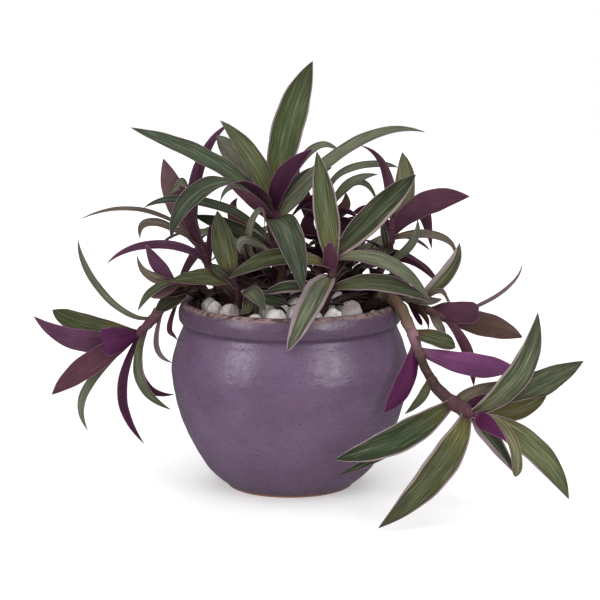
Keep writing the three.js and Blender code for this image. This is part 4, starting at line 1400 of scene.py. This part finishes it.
# The sky's strength rises from To Min, seen near the horizon, to To Max, seen high up.
DOME = {"From Min": -0.1, "From Max": 0.8, "To Min": 0.15, "To Max": 0.34}
# Each row: bearing, rise and breadth in degrees, strength, whether shiny surfaces mirror it.
LIGHTS = {
    "left_light": (-52, 21, 30, 0.8, True),
    "right_light": (42, 21, 30, 0.85, True),
    "front_light": (-6, 28, 30, 0.65, False),
    "back_light": (165, 50, 60, 0.85, False),
    "top_light": (0, 80, 60, 0.85, False),
}
bpy.ops.object.select_all(action="DESELECT")
bpy.ops.mesh.primitive_plane_add(size=FLOOR_SIZE, location=(0, 0, -FLOOR_DROP))
floor = added("studio_floor")
bpy.ops.object.transform_apply(location=True)
sheet = Finish(
    "studio_paper",
    Specular_IOR_Level=0.1,
    Roughness=0.9,
    Emission_Color=(1, 1, 1, 1),
    Emission_Strength=FLOOR_GLOW,
)
texture = sheet.noise(sheet.place(), 60, 2)
sheet.set(Base_Color=sheet.mix(texture, paint(246, 246, 246), paint(250, 250, 250)))
floor.data.materials.append(sheet.material)
floor.visible_glossy = False

world = bpy.data.worlds.new("studio")
world.use_nodes = True
sky = world.node_tree
air = sky.nodes["Background"]
air.inputs["Color"].default_value = (1, 1, 1, 1)
way = sky.nodes.new("ShaderNodeTexCoord")
height = sky.nodes.new("ShaderNodeSeparateXYZ")
dome = sky.nodes.new("ShaderNodeMapRange")
dome.interpolation_type = "SMOOTHSTEP"
for socket, value in DOME.items():
    dome.inputs[socket].default_value = value
rays = sky.nodes.new("ShaderNodeLightPath")
whiter = sky.nodes.new("ShaderNodeMix")
whiter.inputs["B"].default_value = 1.0
sky.links.new(way.outputs["Generated"], height.inputs[0])
sky.links.new(height.outputs["Z"], dome.inputs["Value"])
sky.links.new(rays.outputs["Is Camera Ray"], whiter.inputs["Factor"])
sky.links.new(dome.outputs[0], whiter.inputs["A"])
sky.links.new(whiter.outputs[0], air.inputs["Strength"])
bpy.context.scene.world = world
bpy.context.scene.view_settings.view_transform = "Standard"


def soft_light(name, bearing, rise, breadth, strength, mirrored):
    """A light from that bearing, in degrees right of the front, that rise and that breadth."""
    light = bpy.data.lights.new(name, "SUN")
    light.angle = math.radians(breadth)
    light.energy = strength
    lamp = bpy.data.objects.new(name, light)
    bpy.context.scene.collection.objects.link(lamp)
    side, up = math.radians(bearing), math.radians(rise)
    way = Vector((math.sin(side) * math.cos(up), -math.cos(side) * math.cos(up), math.sin(up)))
    lamp.rotation_euler = way.to_track_quat("Z", "Y").to_euler()
    lamp.visible_glossy = mirrored


for name, settings in LIGHTS.items():
    soft_light(name, *settings)
print("lights:", len(LIGHTS))
